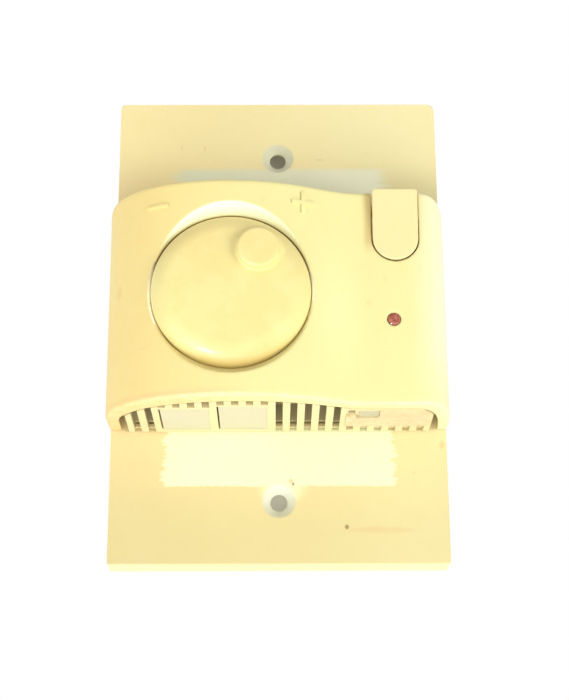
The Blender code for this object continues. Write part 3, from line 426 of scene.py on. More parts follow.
def add_band(shape, sections, lift=0.0):
    """Loft a solid through sections of (z, line); each line closes across its own foot."""
    rings = []
    for z, line in sections:
        rise = lift if z < 0 else 0.0
        ring = []
        for x, h in line:
            ring.append(shape.verts.new((leaned(x, z), front(h), z + rise * (1 - h / HUMP_HEIGHT))))
        rings.append(ring)
    shape.faces.new(rings[0])
    shape.faces.new(reversed(rings[-1]))
    for lower, upper in zip(rings, rings[1:]):
        count = len(lower)
        for i in range(count):
            j = (i + 1) % count
            shape.faces.new((lower[i], upper[i], upper[j], lower[j]))


def settle(piece):
    """Apply the piece's modifiers."""
    bpy.context.view_layer.update()
    evaluated = piece.evaluated_get(bpy.context.evaluated_depsgraph_get())
    mesh = bpy.data.meshes.new_from_object(evaluated)
    old = piece.data
    piece.modifiers.clear()
    piece.data = mesh
    bpy.data.meshes.remove(old)
    mesh.name = piece.name


def boolean(target, operation, shape):
    """Join, cut or intersect the target with a closed bmesh in millimetres or with a helper object."""
    helper = shape if isinstance(shape, bpy.types.Object) else made_from(f"{target.name}_tool", shape)
    step = target.modifiers.new("step", "BOOLEAN")
    step.operation = operation
    step.solver = "EXACT"
    step.object = helper
    settle(target)
    bpy.data.objects.remove(helper, do_unlink=True)


def cut(target, shape):
    boolean(target, "DIFFERENCE", shape)


def join(target, shape):
    boolean(target, "UNION", shape)


def cut_box(target, x, y, z):
    box = bmesh.new()
    add_box(box, x, y, z)
    cut(target, box)


def soften(piece, radius, angle):
    """Round the piece's sharp edges."""
    step = piece.modifiers.new("edges", "BEVEL")
    step.width = radius * MM
    step.segments = 3
    step.limit_method = "ANGLE"
    step.angle_limit = math.radians(angle)
    settle(piece)
    smooth(piece)


def flatten(piece, angle=40.0):
    """Shade each vertex by its largest face, so that flat faces stay flat beside rounded edges."""
    smooth(piece, angle)
    step = piece.modifiers.new("normals", "WEIGHTED_NORMAL")
    step.keep_sharp = True
    settle(piece)


def remesh(piece, size, passes):
    """Rebuild the surface from even faces, which rounds every edge a little, as moulding does."""
    step = piece.modifiers.new("remesh", "REMESH")
    step.mode = "VOXEL"
    step.voxel_size = size * MM
    step.use_smooth_shade = True
    relax = piece.modifiers.new("relax", "SMOOTH")
    relax.factor = 0.5
    relax.iterations = passes
    settle(piece)
    piece.data.shade_smooth()


def finish(piece, look, body, slot, *nodes):
    """Give a new piece its material and its body, and hide the CAD nodes that it stands for."""
    piece.data.materials.clear()
    piece.data.materials.append(look)
    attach(piece, body)
    if nodes:
        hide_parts(*nodes)


# Pieces

def build_plate():
    x = (plate_low.x, plate_high.x)
    z = (plate_low.z, plate_high.z)
    blank = bmesh.new()
    add_prism(blank, rounded_rectangle(x, z, PLATE_CORNERS), -PLATE_THICKNESS, 0.0)
    rim = [e for e in blank.edges if all(v.co.y < -PLATE_THICKNESS + 0.01 for v in e.verts)]
    bmesh.ops.bevel(blank, geom=rim, offset=PLATE_EDGE, segments=5, affect="EDGES", profile=0.5)
    plate = made_from("plate", blank, 50.0)

    pockets = bmesh.new()
    columns = (x[0] + PLATE_RIM, x[0] / 2, 0.0, x[1] / 2, x[1] - PLATE_RIM)
    rows = (z[0] + PLATE_RIM, z[0] / 2, 0.0, z[1] / 2, z[1] - PLATE_RIM)
    half_rib = PLATE_RIB / 2
    for left, right in zip(columns, columns[1:]):
        for low, high in zip(rows, rows[1:]):
            start_x = left if left == columns[0] else left + half_rib
            end_x = right if right == columns[-1] else right - half_rib
            start_z = low if low == rows[0] else low + half_rib
            end_z = high if high == rows[-1] else high - half_rib
            outline = rounded_rectangle((start_x, end_x), (start_z, end_z), (RIB_CORNER,) * 4, 4)
            add_prism(pockets, outline, PLATE_SKIN - PLATE_THICKNESS, 1.0)
    cut(plate, pockets)

    bosses = bmesh.new()
    wall_side, in_skin = -PLATE_THICKNESS, 0.5 - PLATE_SKIN
    for centre in BOX_SCREWS:
        add_turned(bosses, rod_profile(BOX_BOSS_RADIUS, wall_side, in_skin), *centre)
    add_turned(bosses, rod_profile(CENTRE_BOSS_RADIUS, wall_side, in_skin), 0.0, 0.0)
    for centre in TRAY_SCREWS:
        add_turned(bosses, rod_profile(TRAY_BOSS_RADIUS, wall_side, in_skin), *centre)
    join(plate, bosses)
    window_frame = bmesh.new()
    frame_x = (WINDOW_X[0] - PLATE_RIB, WINDOW_X[1] + PLATE_RIB)
    frame_z = (WINDOW_Z[0] - PLATE_RIB, WINDOW_Z[1] + PLATE_RIB)
    add_box(window_frame, frame_x, (1.0 - PLATE_THICKNESS, 0.0), frame_z)
    join(plate, window_frame)

    holes = bmesh.new()
    add_box(holes, WINDOW_X, (-PLATE_THICKNESS - 1.0, 1.0), WINDOW_Z)
    slope = (COUNTERSINK_RADIUS - BOX_SCREW_HOLE) / COUNTERSINK_DEPTH
    beyond = wall_side - 1.0
    throat = -COUNTERSINK_DEPTH - 0.3
    profile = [(0.0, beyond), (RELIEF_RADIUS, beyond), (RELIEF_RADIUS, throat - 0.3)]
    profile += [(BOX_SCREW_HOLE, throat), (BOX_SCREW_HOLE, -COUNTERSINK_DEPTH)]
    profile += [(COUNTERSINK_RADIUS - 0.25 * slope, -0.25), (COUNTERSINK_RADIUS, -0.12)]
    profile += [(COUNTERSINK_RADIUS + 0.3, 0.02), (COUNTERSINK_RADIUS + 0.3, 1.0), (0.0, 1.0)]
    for centre in BOX_SCREWS:
        add_turned(holes, profile, *centre)
    for centre in TRAY_SCREWS:
        add_turned(holes, rod_profile(TRAY_SCREW_HOLE, 1.0 - PLATE_THICKNESS, 1.0), *centre, 32)
    cut(plate, holes)
    flatten(plate)
    return plate


def build_cover():
    outer = front_outline()
    quarter = [math.pi / 2 * step / 6 for step in range(7)]
    rounding = [(COVER_EDGE * (1 - math.cos(a)), COVER_EDGE * (1 - math.sin(a))) for a in quarter]
    sections = [(BODY_BOTTOM + rise, offset_line(outer, -inset)) for rise, inset in rounding]
    sections += [(BODY_TOP - rise, offset_line(outer, -inset)) for rise, inset in reversed(rounding)]
    shape = bmesh.new()
    add_band(shape, sections, SIDE_LIFT)
    cover = made_from("cover", shape)

    inner = offset_line(front_outline(foot=-2.0), -COVER_WALL)
    shape = bmesh.new()
    add_band(shape, [(BODY_BOTTOM + FLANGE, inner), (BODY_TOP - FLANGE, inner)])
    cavity = made_from("cavity", shape)
    well = bmesh.new()
    well_back = WELL_FLOOR_HEIGHT - WELL_FLOOR_THICKNESS
    add_turned(well, rod_profile(DIAL_RADIUS + GAP + WELL_WALL, well_back, BEYOND), DIAL_X, DIAL_Z, 96)
    cut(cavity, well)
    ears = bmesh.new()
    ear_inside = KEY_WIDTH / 2 + GAP
    for side in (-1, 1):
        x = sorted((KEY_X + side * (ear_inside - 0.5), KEY_X + side * (ear_inside + EAR_WIDTH)))
        y = (front(BEYOND), front(PIVOT_HEIGHT - EAR_DEPTH))
        add_box(ears, x, y, (PIVOT_Z - EAR_HALF_LENGTH, PIVOT_Z + EAR_HALF_LENGTH))
    cut(cavity, ears)
    cut(cover, cavity)

    opening = opening_line()
    ends = bmesh.new()
    add_band(ends, [(BODY_BOTTOM - 5.0, opening), (BODY_BOTTOM + FLANGE + 0.5, opening)])
    add_band(ends, [(BODY_TOP - FLANGE - 0.5, opening), (BODY_TOP + 5.0, opening)])
    cut(cover, ends)

    bore = DIAL_RADIUS + DIAL_GAP
    flare = (POCKET_RADIUS - bore) / (HUMP_HEIGHT - DIAL_RIM_HEIGHT)
    above = 4.0
    profile = [(0.0, WELL_FLOOR_HEIGHT), (bore, WELL_FLOOR_HEIGHT), (bore, DIAL_RIM_HEIGHT)]
    profile += [(POCKET_RADIUS + flare * above, HUMP_HEIGHT + above), (0.0, HUMP_HEIGHT + above)]
    dish = bmesh.new()
    add_turned(dish, profile, DIAL_X, DIAL_Z + DIAL_DROP, 180)
    cut(cover, dish)

    holes = bmesh.new()
    through_floor = (WELL_FLOOR_HEIGHT - WELL_FLOOR_THICKNESS - 1.0, WELL_FLOOR_HEIGHT + 1.0)
    add_turned(holes, rod_profile(HUB_RADIUS + 0.4, *through_floor), DIAL_X, DIAL_Z, 48)
    add_turned(holes, rod_profile(COVER_SCREW_HOLE, *through_floor), *COVER_SCREW, 32)
    add_turned(holes, rod_profile(LAMP_HOLE_RADIUS, 10.0, BEYOND), LAMP_X, LAMP_Z, 48)
    slot_outline = tongue_outline(KEY_WIDTH / 2 + KEY_GAP, KEY_BOTTOM - 0.5, BODY_TOP + 3.0)
    add_prism(holes, slot_outline, front(BEYOND), front(12.0))
    cut(cover, holes)
    notches = bmesh.new()
    half = PIN_RADIUS + GAP
    reach = KEY_WIDTH / 2 + PIN_REACH + GAP
    for side in (-1, 1):
        x = sorted((KEY_X + side * 4.0, KEY_X + side * reach))
        add_box(notches, x, (front(PIVOT_HEIGHT + half), front(12.0)), (PIVOT_Z - half, PIVOT_Z + half))
    cut(cover, notches)
    remesh(cover, size=0.3, passes=3)
    return cover


def tongue_outline(half_width, bottom, top, steps=40):
    """A tongue hanging down: straight top, round lower end."""
    top_corners = [(KEY_X + half_width, top), (KEY_X - half_width, top)]
    return top_corners + arc(KEY_X, bottom + half_width, half_width, math.pi, math.pi, steps)


def minus_outline():
    x, z = MINUS_CENTRE
    reach, half = MINUS_HALF_LENGTH, MARK_HALF_STROKE
    return [(x - reach, z + half), (x + reach, z + half), (x + reach, z - half), (x - reach, z - half)]


def plus_outline():
    x, z = PLUS_CENTRE
    outline = []
    for right, up in ((1, 1), (-1, 1), (-1, -1), (1, -1)):
        corner = (x + right * MARK_HALF_STROKE, z + up * MARK_HALF_STROKE)
        along_x = (x + right * PLUS_HALF_LENGTH, corner[1])
        along_z = (corner[0], z + up * PLUS_HALF_LENGTH)
        outline += [along_x, corner, along_z] if right == up else [along_z, corner, along_x]
    return outline


def build_mark(name, outline):
    """A raised stroke that follows the cover's skin, rooted a little below it."""
    skin_line = offset_line(front_outline(), MARK_RAISE)
    root_line = offset_line(front_outline(), -0.4)
    skin = bmesh.new()
    add_band(skin, [(MARK_FIELD_BOTTOM, skin_line), (BODY_TOP - COVER_EDGE, skin_line)])
    mark = made_from(name, skin)
    strokes = bmesh.new()
    add_prism(strokes, outline, front(BEYOND), front(15.0))
    boolean(mark, "INTERSECT", strokes)
    root = bmesh.new()
    add_band(root, [(MARK_FIELD_BOTTOM - 1.0, root_line), (BODY_TOP + 1.0, root_line)])
    cut(mark, root)
    soften(mark, 0.16, 50.0)
    return mark


def slot_runs(x, covered):
    """Stretches of height in which the slot at x is open; labels and the moulded field close the rest."""
    if covered:
        for (left, right), (low, high) in LABELS:
            if left < x < right:
                return [(high + SEAM_COVER, BEYOND)]
        (left, right), (low, high) = MOULDED_FIELD
        if left < x < GREY_PATCH_LEFT:
            return [(SLOT_FOOT, low), (FIELD_SHOULDER, high)]
        if left < x < right:
            return [(SLOT_FOOT, low)]
    return [(SLOT_FOOT, BEYOND)]


def fit_label_bed(panel, node, low):
    """Sink a bed for a label or the moulded field; a label also gets dark seams at its left and back."""
    corner_low, corner_high = limits(node)
    x = (corner_low.x - SEAM, corner_high.x + SEAM)
    y = (corner_low.y - SEAM, corner_high.y + SEAM)
    cut_box(panel, x, y, (low - 1.0, corner_high.z + SEAM))
    if node == "moulded_panel":
        return
    beside = (x[0] - SEAM_SHADOW, x[0] + 0.1)
    behind = (y[1] - 0.1, y[1] + SEAM_SHADOW)
    for seam_x, seam_y in ((beside, y), (x, behind)):
        cut_box(panel, seam_x, seam_y, (low - 1.0, low + SEAM_DEPTH))


def build_grille(name, low, high, is_lower):
    """A comb of bars on a spine, filling one open end of the cover."""
    line = opening_line(shrink=GAP)
    shape = bmesh.new()
    add_band(shape, [(low, line), (high, line)])
    panel = made_from(name, shape)
    slots = bmesh.new()
    slot_ends = bmesh.new()
    slot_ends_y = (front(GRILLE_FOOT + 3.0), 1.0)
    for index in range(VENT_SLOTS):
        centre = VENT_CENTRE_X + (index - (VENT_SLOTS - 1) / 2) * VENT_PITCH
        x = (centre - VENT_SLOT_WIDTH / 2, centre + VENT_SLOT_WIDTH / 2)
        runs = slot_runs(centre, is_lower)
        for start, end in runs:
            add_box(slots, x, (front(end), front(start)), (low - 1.0, high + 1.0))
        if len(runs) == 1 and runs[0][0] == SLOT_FOOT:
            add_box(slot_ends, x, slot_ends_y, (low - 1.0, low + SPINE_RECESS))
    cut(panel, slots)
    ends = bmesh.new()
    for side in (-1, 1):
        x = sorted((VENT_CENTRE_X + side * VENT_HALF_WIDTH, side * BEYOND))
        add_box(ends, x, (front(BEYOND), front(-5.0)), (low - 1.0, high + 1.0))
    cut(panel, ends)
    cut_box(panel, (-BEYOND, BEYOND), (front(GRILLE_FOOT), front(-5.0)), (low - 2.0, high + 2.0))
    if is_lower:
        cut(panel, slot_ends)
        for node in ("rating_label_left", "rating_label_right", "moulded_panel"):
            fit_label_bed(panel, node, low)
    else:
        slot_ends.free()
        x = (KEY_X - KEY_WIDTH / 2 - GAP, KEY_X + KEY_WIDTH / 2 + GAP)
        cut_box(panel, x, (front(BEYOND), front(KEY_ROOM_HEIGHT)), (low - 2.0, high + 2.0))
    flatten(panel)
    return panel


def build_patch():
    """The grey patch: a thin plate with two cut corners at the back, in the notch of the moulded field."""
    low, high = limits("grey_patch")
    left = low.x + PATCH_SHIFT
    right = high.x + PATCH_GROWTH
    back = -high.y - PLATE_THICKNESS - PATCH_GROWTH
    face = -low.y - PLATE_THICKNESS
    outline = [(left, face), (left, back + PATCH_CUT), (left + PATCH_CUT, back)]
    outline += [(right - PATCH_CUT, back), (right, back + PATCH_CUT), (right, face)]
    shape = bmesh.new()
    add_prism(shape, outline, low.z, high.z, along="Z")
    return made_from("patch", shape)


def dial_face_height(radius):
    """Height of the dial's face at a distance from its axis: a low crown with an elliptical edge."""
    edge_start = DIAL_RADIUS - DIAL_EDGE_WIDTH
    if radius <= edge_start:
        return DIAL_FACE_HEIGHT + DIAL_CROWN * (1 - (radius / edge_start) ** 2)
    across = (radius - edge_start) / DIAL_EDGE_WIDTH
    return DIAL_RIM_HEIGHT + (DIAL_FACE_HEIGHT - DIAL_RIM_HEIGHT) * math.sqrt(max(0.0, 1 - across ** 2))


def build_dial():
    under = DIAL_FACE_HEIGHT - DIAL_SHELL
    bore = SHAFT_RADIUS + GAP
    bore_top = under - 1.3
    hub_back = WELL_FLOOR_HEIGHT + 0.8
    skirt_back = WELL_FLOOR_HEIGHT + 2.1
    skirt_inside = DIAL_RADIUS - DIAL_SHELL
    profile = [(0.0, bore_top), (bore, bore_top), (bore, hub_back)]
    profile += [(HUB_RADIUS, hub_back), (HUB_RADIUS, under)]
    profile += [(DIAL_RADIUS - DIAL_EDGE_WIDTH, under), (skirt_inside, DIAL_RIM_HEIGHT - 0.6)]
    profile += [(skirt_inside, skirt_back), (DIAL_RADIUS, skirt_back)]
    edge_steps = 20
    for step in range(edge_steps + 1):
        radius = DIAL_RADIUS - DIAL_EDGE_WIDTH * (1 - math.cos(math.pi / 2 * step / edge_steps))
        profile.append((radius, dial_face_height(radius)))
    profile += [(r, dial_face_height(r)) for r in (10.0, 8.0, 6.0, 4.0, 2.0, 0.0)]
    shape = bmesh.new()
    add_turned(shape, profile, DIAL_X, DIAL_Z, 160)
    cap = made_from("dial_cap", shape)
    boss_x = DIAL_X + BOSS_OFFSET * math.sin(BOSS_ANGLE)
    boss_z = DIAL_Z + BOSS_OFFSET * math.cos(BOSS_ANGLE)
    root = DIAL_FACE_HEIGHT - 1.2
    foot = DIAL_FACE_HEIGHT + 0.05
    profile = [(0.0, root), (BOSS_RADIUS + BOSS_FILLET, root)]
    arc = [(1 - math.sin(math.pi / 2 * step / 6), 1 - math.cos(math.pi / 2 * step / 6)) for step in range(7)]
    profile += [(BOSS_RADIUS + BOSS_FILLET * a, foot + BOSS_FILLET * b) for a, b in arc]
    profile += [(BOSS_RADIUS - BOSS_ROUNDING * b, BOSS_HEIGHT - BOSS_ROUNDING * a) for a, b in arc]
    profile.append((0.0, BOSS_HEIGHT))
    boss = bmesh.new()
    add_turned(boss, profile, boss_x, boss_z, 64)
    join(cap, boss)
    remesh(cap, size=0.25, passes=2)
    return cap


def build_key():
    """The key is drawn upright and then tipped about its pins, lower end pressed in."""
    face = KEY_FACE_HEIGHT
    back = face - KEY_THICKNESS
    half = KEY_WIDTH / 2
    outline = []
    for side, start in ((1, 0.0), (-1, math.pi / 2)):
        centre_x = KEY_X + side * (half - KEY_CORNER)
        outline += arc(centre_x, KEY_TOP - KEY_CORNER, KEY_CORNER, start, math.pi / 2, 8)
    outline += tongue_outline(half, KEY_BOTTOM, KEY_TOP)[2:]
    shape = bmesh.new()
    add_prism(shape, outline, front(face), front(back))
    rim = [e for e in shape.edges if all(abs(v.co.y - front(face)) < 1e-4 for v in e.verts)]
    bmesh.ops.bevel(shape, geom=rim, offset=KEY_EDGE, segments=6, affect="EDGES", profile=0.5)
    key = made_from("key", shape)
    pivot = Vector((KEY_X, front(PIVOT_HEIGHT), PIVOT_Z))
    pins = bmesh.new()
    add_rod(pins, pivot, PIN_RADIUS, 2 * (half + PIN_REACH), 32)
    join(key, pins)
    stem = bmesh.new()
    stem_x = (KEY_X - STEM_HALF_WIDTH, KEY_X + STEM_HALF_WIDTH)
    stem_z = (PLUNGER_Z - STEM_HALF_LENGTH, PLUNGER_Z + STEM_HALF_LENGTH)
    add_box(stem, stem_x, (front(back + 1.0), front(STEM_BACK)), stem_z)
    join(key, stem)
    remesh(key, size=0.2, passes=2)
    about = Matrix.Translation(pivot * MM)
    key.data.transform(about @ Matrix.Rotation(KEY_TILT, 4, "X") @ about.inverted())
    return key


def build_lamp():
    profile = [(0.0, LAMP_BACK), (LAMP_FLANGE_RADIUS, LAMP_BACK), (LAMP_FLANGE_RADIUS, LAMP_FLANGE_TOP)]
    profile += [(LAMP_RADIUS, LAMP_FLANGE_TOP)]
    for step in range(12):
        angle = math.pi / 2 * step / 12
        profile.append((LAMP_RADIUS * math.cos(angle), LAMP_SHOULDER + LAMP_DOME * math.sin(angle)))
    profile.append((0.0, LAMP_SHOULDER + LAMP_DOME))
    shape = bmesh.new()
    add_turned(shape, profile, LAMP_X, LAMP_Z, 64)
    return made_from("lamp", shape)


# Materials

class Graph:
    """A material's node tree with short ways to add nodes."""

    def __init__(self, name):
        self.material = bpy.data.materials.new(name)
        self.material.use_nodes = True
        self.tree = self.material.node_tree
        self.shader = self.tree.nodes["Principled BSDF"]
        scaled = self.node("ShaderNodeVectorMath", operation="SCALE")
        scaled.inputs["Scale"].default_value = 1.0 / MM
        coordinates = self.node("ShaderNodeTexCoord")
        self.tree.links.new(coordinates.outputs["Object"], scaled.inputs[0])
        self.place = scaled.outputs[0]
        split = self.node("ShaderNodeSeparateXYZ", {0: self.place})
        self.x, self.y, self.z = split.outputs

    def node(self, kind, sockets=None, **settings):
        made = self.tree.nodes.new(kind)
        for key, value in settings.items():
            setattr(made, key, value)
        for key, value in (sockets or {}).items():
            self.feed(made.inputs[key], value)
        return made

    def feed(self, socket, value):
        if isinstance(value, bpy.types.NodeSocket):
            self.tree.links.new(value, socket)
        else:
            socket.default_value = value

    def math(self, operation, *values):
        return self.node("ShaderNodeMath", dict(enumerate(values)), operation=operation).outputs[0]

    def noise(self, scale, detail=3.0, roughness=0.5, distortion=0.0, place=None, seed=0.0):
        sockets = {"Vector": place or self.place, "Scale": scale, "Detail": detail, "W": seed}
        sockets.update({"Roughness": roughness, "Distortion": distortion})
        return self.node("ShaderNodeTexNoise", sockets, noise_dimensions="4D").outputs["Fac"]

    def stretched(self, x, y, z):
        """The place with its axes scaled, for patterns that are longer one way."""
        scaled = self.node("ShaderNodeVectorMath", {0: self.place, 1: (x, y, z)}, operation="MULTIPLY")
        return scaled.outputs[0]

    def span(self, value, low, high, to_low=0.0, to_high=1.0):
        """Smooth step of a value between two limits."""
        sockets = {"Value": value, "From Min": low, "From Max": high, "To Min": to_low, "To Max": to_high}
        return self.node("ShaderNodeMapRange", sockets, interpolation_type="SMOOTHSTEP").outputs["Result"]

    def mix(self, factor, first, second, blend="MIX"):
        made = self.node("ShaderNodeMix", data_type="RGBA", blend_type=blend)
        colours = [s for s in made.inputs if s.type == "RGBA"]
        for socket, value in zip((made.inputs[0], *colours), (factor, first, second)):
            if isinstance(value, tuple):
                value = (*value, 1.0)[:4]
            self.feed(socket, value)
        return next(s for s in made.outputs if s.type == "RGBA")

    def height(self):
        """How far a point stands in front of the plate's face."""
        return self.math("SUBTRACT", self.product(self.y, -1.0), PLATE_THICKNESS)

    def product(self, *values):
        result = values[0]
        for value in values[1:]:
            result = self.math("MULTIPLY", result, value)
        return result

    def inside(self, value, low, high, soft):
        """1 between two limits and 0 outside them."""
        return self.product(self.span(value, low - soft, low + soft),
                            self.span(value, high - soft, high + soft, 1.0, 0.0))

    def spot(self, x, z, reach_x, reach_z, soft=0.4, wobble=0.0):
        """1 inside an ellipse on the front."""
        across = self.math("DIVIDE", self.math("SUBTRACT", self.x, x), reach_x)
        up = self.math("DIVIDE", self.math("SUBTRACT", self.z, z), reach_z)
        squares = self.math("ADD", self.product(across, across), self.product(up, up))
        distance = self.math("SQRT", squares)
        if wobble:
            distance = self.math("ADD", distance, self.product(self.centred(0.9, 3.0), wobble))
        return self.span(distance, 1.0 - soft, 1.0 + soft, 1.0, 0.0)

    def centred(self, scale, detail, seed=0.0):
        return self.math("SUBTRACT", self.noise(scale, detail, seed=seed), 0.5)

    def bump(self, height, distance, strength=1.0, under=None):
        sockets = {"Height": height, "Distance": distance * MM, "Strength": strength}
        if under is not None:
            sockets["Normal"] = under
        return self.node("ShaderNodeBump", sockets).outputs["Normal"]

    def done(self, colour, roughness, normal=None):
        self.feed(self.shader.inputs["Base Color"], colour)
        self.feed(self.shader.inputs["Roughness"], roughness)
        if normal is not None:
            self.feed(self.shader.inputs["Normal"], normal)
        return self.material

    def fix(self, **sockets):
        for name, value in sockets.items():
            self.shader.inputs[name.replace("_", " ")].default_value = value


def moulded(graph, colour, roughness=0.45, grain=0.012, wear=0.25):
    """Finish a graph as satin moulded plastic: fine grain, slow unevenness, and paler rubbed edges."""
    blotches = graph.noise(0.05, 4.0, 0.55, 0.3)
    clouds = graph.noise(0.32, 5.0, 0.6, 0.2, seed=3.0)
    colour = graph.mix(graph.span(blotches, 0.35, 0.65, 0.0, 0.16), colour, (0.95, 0.90, 0.80), "MULTIPLY")
    colour = graph.mix(graph.span(clouds, 0.42, 0.75, 0.0, 0.10), colour, (0.93, 0.86, 0.72), "MULTIPLY")
    rubbed = graph.node("ShaderNodeNewGeometry").outputs["Pointiness"]
    edge = graph.product(graph.span(rubbed, 0.56, 0.66), graph.span(graph.noise(0.9, 4.0), 0.35, 0.6))
    colour = graph.mix(graph.product(edge, wear), colour, (0.85, 0.80, 0.58))
    fine = graph.noise(7.0, 2.0, 0.6)
    slow = graph.noise(0.11, 2.0)
    normal = graph.bump(slow, 0.10, 0.5)
    normal = graph.bump(fine, grain, 0.6, normal)
    gloss = graph.span(clouds, 0.3, 0.7, roughness - 0.05, roughness + 0.07)
    return graph.done(colour, gloss, normal)


def plate_look():
    """Yellowed where it was bare; pale where the neighbouring trim and the screw heads covered it. Painted
    shade greys the plate above the cover and the upper pale patch, and painted light brightens its bottom
    edge.
    """
    graph = Graph("plate_plastic")
    base = graph.mix(graph.span(graph.x, -38.0, 38.0), (0.700, 0.560, 0.272), (0.735, 0.612, 0.312))
    cloudy = graph.span(graph.noise(0.045, 3.0, seed=5.0), 0.35, 0.65, 0.0, 0.5)
    base = graph.mix(cloudy, base, (0.712, 0.580, 0.290))
    base = graph.mix(graph.span(graph.z, -18.0, -50.0), base, (0.815, 0.86, 0.81), "MULTIPLY")
    top_tone = graph.mix(graph.span(graph.x, -30.0, 30.0), (0.745, 0.632, 0.308), (0.745, 0.665, 0.350))
    base = graph.mix(graph.span(graph.z, 30.0, 45.0), base, top_tone)
    # Painted shadow of the cover: the plate above it, right of the middle, is greyed
    cover_shadow_band = graph.product(graph.span(graph.z, 42.0, 29.0), graph.span(graph.z, 0.0, 10.0))
    painted_cover_shadow = graph.product(graph.span(graph.x, 4.0, 24.0), cover_shadow_band)
    base = graph.mix(painted_cover_shadow, base, (0.76, 0.83, 0.82), "MULTIPLY")
    on_face = graph.span(graph.y, 0.1 - PLATE_THICKNESS, 0.5 - PLATE_THICKNESS, 1.0, 0.0)
    ragged = graph.noise(0.7, 6.0, 0.75, place=graph.stretched(0.12, 0.0, 1.0), seed=1.0)
    side = graph.math("ADD", graph.x, graph.product(graph.math("SUBTRACT", ragged, 0.5), 10.0))
    frayed = graph.math("ADD", graph.z, graph.product(graph.centred(0.8, 4.0, seed=7.0), 0.7))
    upper = graph.product(graph.inside(side, -23.5, 24.5, 2.2), graph.inside(frayed, 10.0, 38.8, 0.7))
    lower = graph.product(graph.inside(side, -25.3, 25.6, 0.5), graph.inside(frayed, -38.3, -10.0, 0.3))
    # The upper patch: its paler, unyellowed tone, greyed with painted shade cast by the cover below it
    faded_and_shaded = graph.mix(graph.span(graph.x, -25.0, 25.0), (0.605, 0.620, 0.425), (0.690, 0.690, 0.510))
    base = graph.mix(graph.product(upper, on_face, 0.88), base, faded_and_shaded)
    base = graph.mix(graph.product(lower, on_face, 0.95), base, (0.735, 0.755, 0.455))
    lobe = graph.spot(0.8, -39.0, 4.2, 3.0, 0.5, 0.3)
    base = graph.mix(graph.product(lobe, on_face, 0.8), base, (0.735, 0.745, 0.450))
    # Paler along the bottom edge: wear, and painted light where the edge faces the light below
    worn_and_lit_bottom_edge = graph.span(graph.z, plate_low.z + 0.5, plate_low.z + 0.1)
    base = graph.mix(graph.product(worn_and_lit_bottom_edge, 0.8), base, (0.80, 0.75, 0.41))
    reach = COUNTERSINK_RADIUS - 0.05
    for side, tone in ((1, (0.62, 0.61, 0.44)), (-1, (0.60, 0.60, 0.46))):
        under_head = graph.spot(0.0, side * BOX_SCREW_SPACING / 2, reach, reach, 0.08, 0.1)
        base = graph.mix(under_head, base, tone)
    for x, z, reach_x, reach_z, depth, tone in PLATE_MARKS:
        mark = graph.product(graph.spot(x, z, reach_x, reach_z, 0.35, 0.5), on_face, depth)
        base = graph.mix(mark, base, tone)
    return moulded(graph, base)


def from_dial_centre(graph):
    """Offsets from the dial's axis and the distance to it."""
    across = graph.math("SUBTRACT", graph.x, DIAL_X)
    up = graph.math("SUBTRACT", graph.z, DIAL_Z)
    radius = graph.math("SQRT", graph.math("ADD", graph.product(across, across), graph.product(up, up)))
    return across, up, radius


def cream_look(name, left, right, coat=0.0, coat_roughness=0.3, marks=None):
    """The yellowed cream of the cover, the dial and the key; `marks` adds what only one of them shows."""
    graph = Graph(name)
    base = graph.mix(graph.span(graph.x, -36.0, 6.0), left, right)
    if marks:
        base = marks(graph, base)
    graph.fix(Coat_Weight=coat, Coat_Roughness=coat_roughness)
    return moulded(graph, base, 0.50, 0.008, wear=0.0)


def cover_marks(graph, base):
    """Paler at its right side, painted light on the dial's pocket wall, painted shade and light in the gap
    round the dial, a painted shadow beside the key, worn rims and a few faint stains.
    """
    base = side_tones(graph, base)
    base = pocket_tones(graph, base)
    key_left = KEY_X - KEY_WIDTH / 2
    # Painted shadow of the key: a darker band beside its left edge, fading out towards its lower end
    shaded_x = graph.span(graph.x, key_left - 2.6, key_left - 1.0)
    painted_key_shadow = graph.product(shaded_x, graph.span(graph.z, 8.0, 12.5),
                               graph.span(graph.x, key_left, key_left + 1.0, 1.0, 0.0))
    base = graph.mix(painted_key_shadow, base, (0.82, 0.69, 0.61), "MULTIPLY")
    low_rim = graph.span(graph.z, BODY_BOTTOM + 1.0, BODY_BOTTOM + 0.3)
    high_rim = graph.span(graph.z, BODY_TOP - 0.8, BODY_TOP - 0.2)
    worn = graph.span(graph.noise(0.6, 4.0), 0.35, 0.65)
    rubbed = graph.product(graph.math("MAXIMUM", low_rim, high_rim), worn, 0.25)
    base = graph.mix(rubbed, base, (0.80, 0.76, 0.50))
    for x, z, reach_x, reach_z, depth in COVER_STAINS:
        stain = graph.product(graph.spot(x, z, reach_x, reach_z, 0.6, 0.5), depth)
        base = graph.mix(stain, base, TAN)
    return base


def side_tones(graph, base):
    """Paler towards the cover's right side and beside the dial, warmer along its lower left rim."""
    pale_side = graph.product(graph.span(graph.x, 27.0, 37.0), graph.span(graph.z, -25.0, -10.0, 0.5, 1.0))
    base = graph.mix(pale_side, base, (0.755, 0.700, 0.460))
    along_rim = graph.span(graph.z, BODY_BOTTOM + 2.5, BODY_BOTTOM + 1.0)
    low_left = graph.product(graph.span(graph.x, -2.0, -20.0), along_rim)
    base = graph.mix(low_left, base, (0.98, 0.89, 0.95), "MULTIPLY")
    beside_dial = graph.spot(13.0, -4.0, 5.0, 12.0, 0.8, 0.2)
    return graph.mix(beside_dial, base, (1.0, 1.05, 1.10), "MULTIPLY")


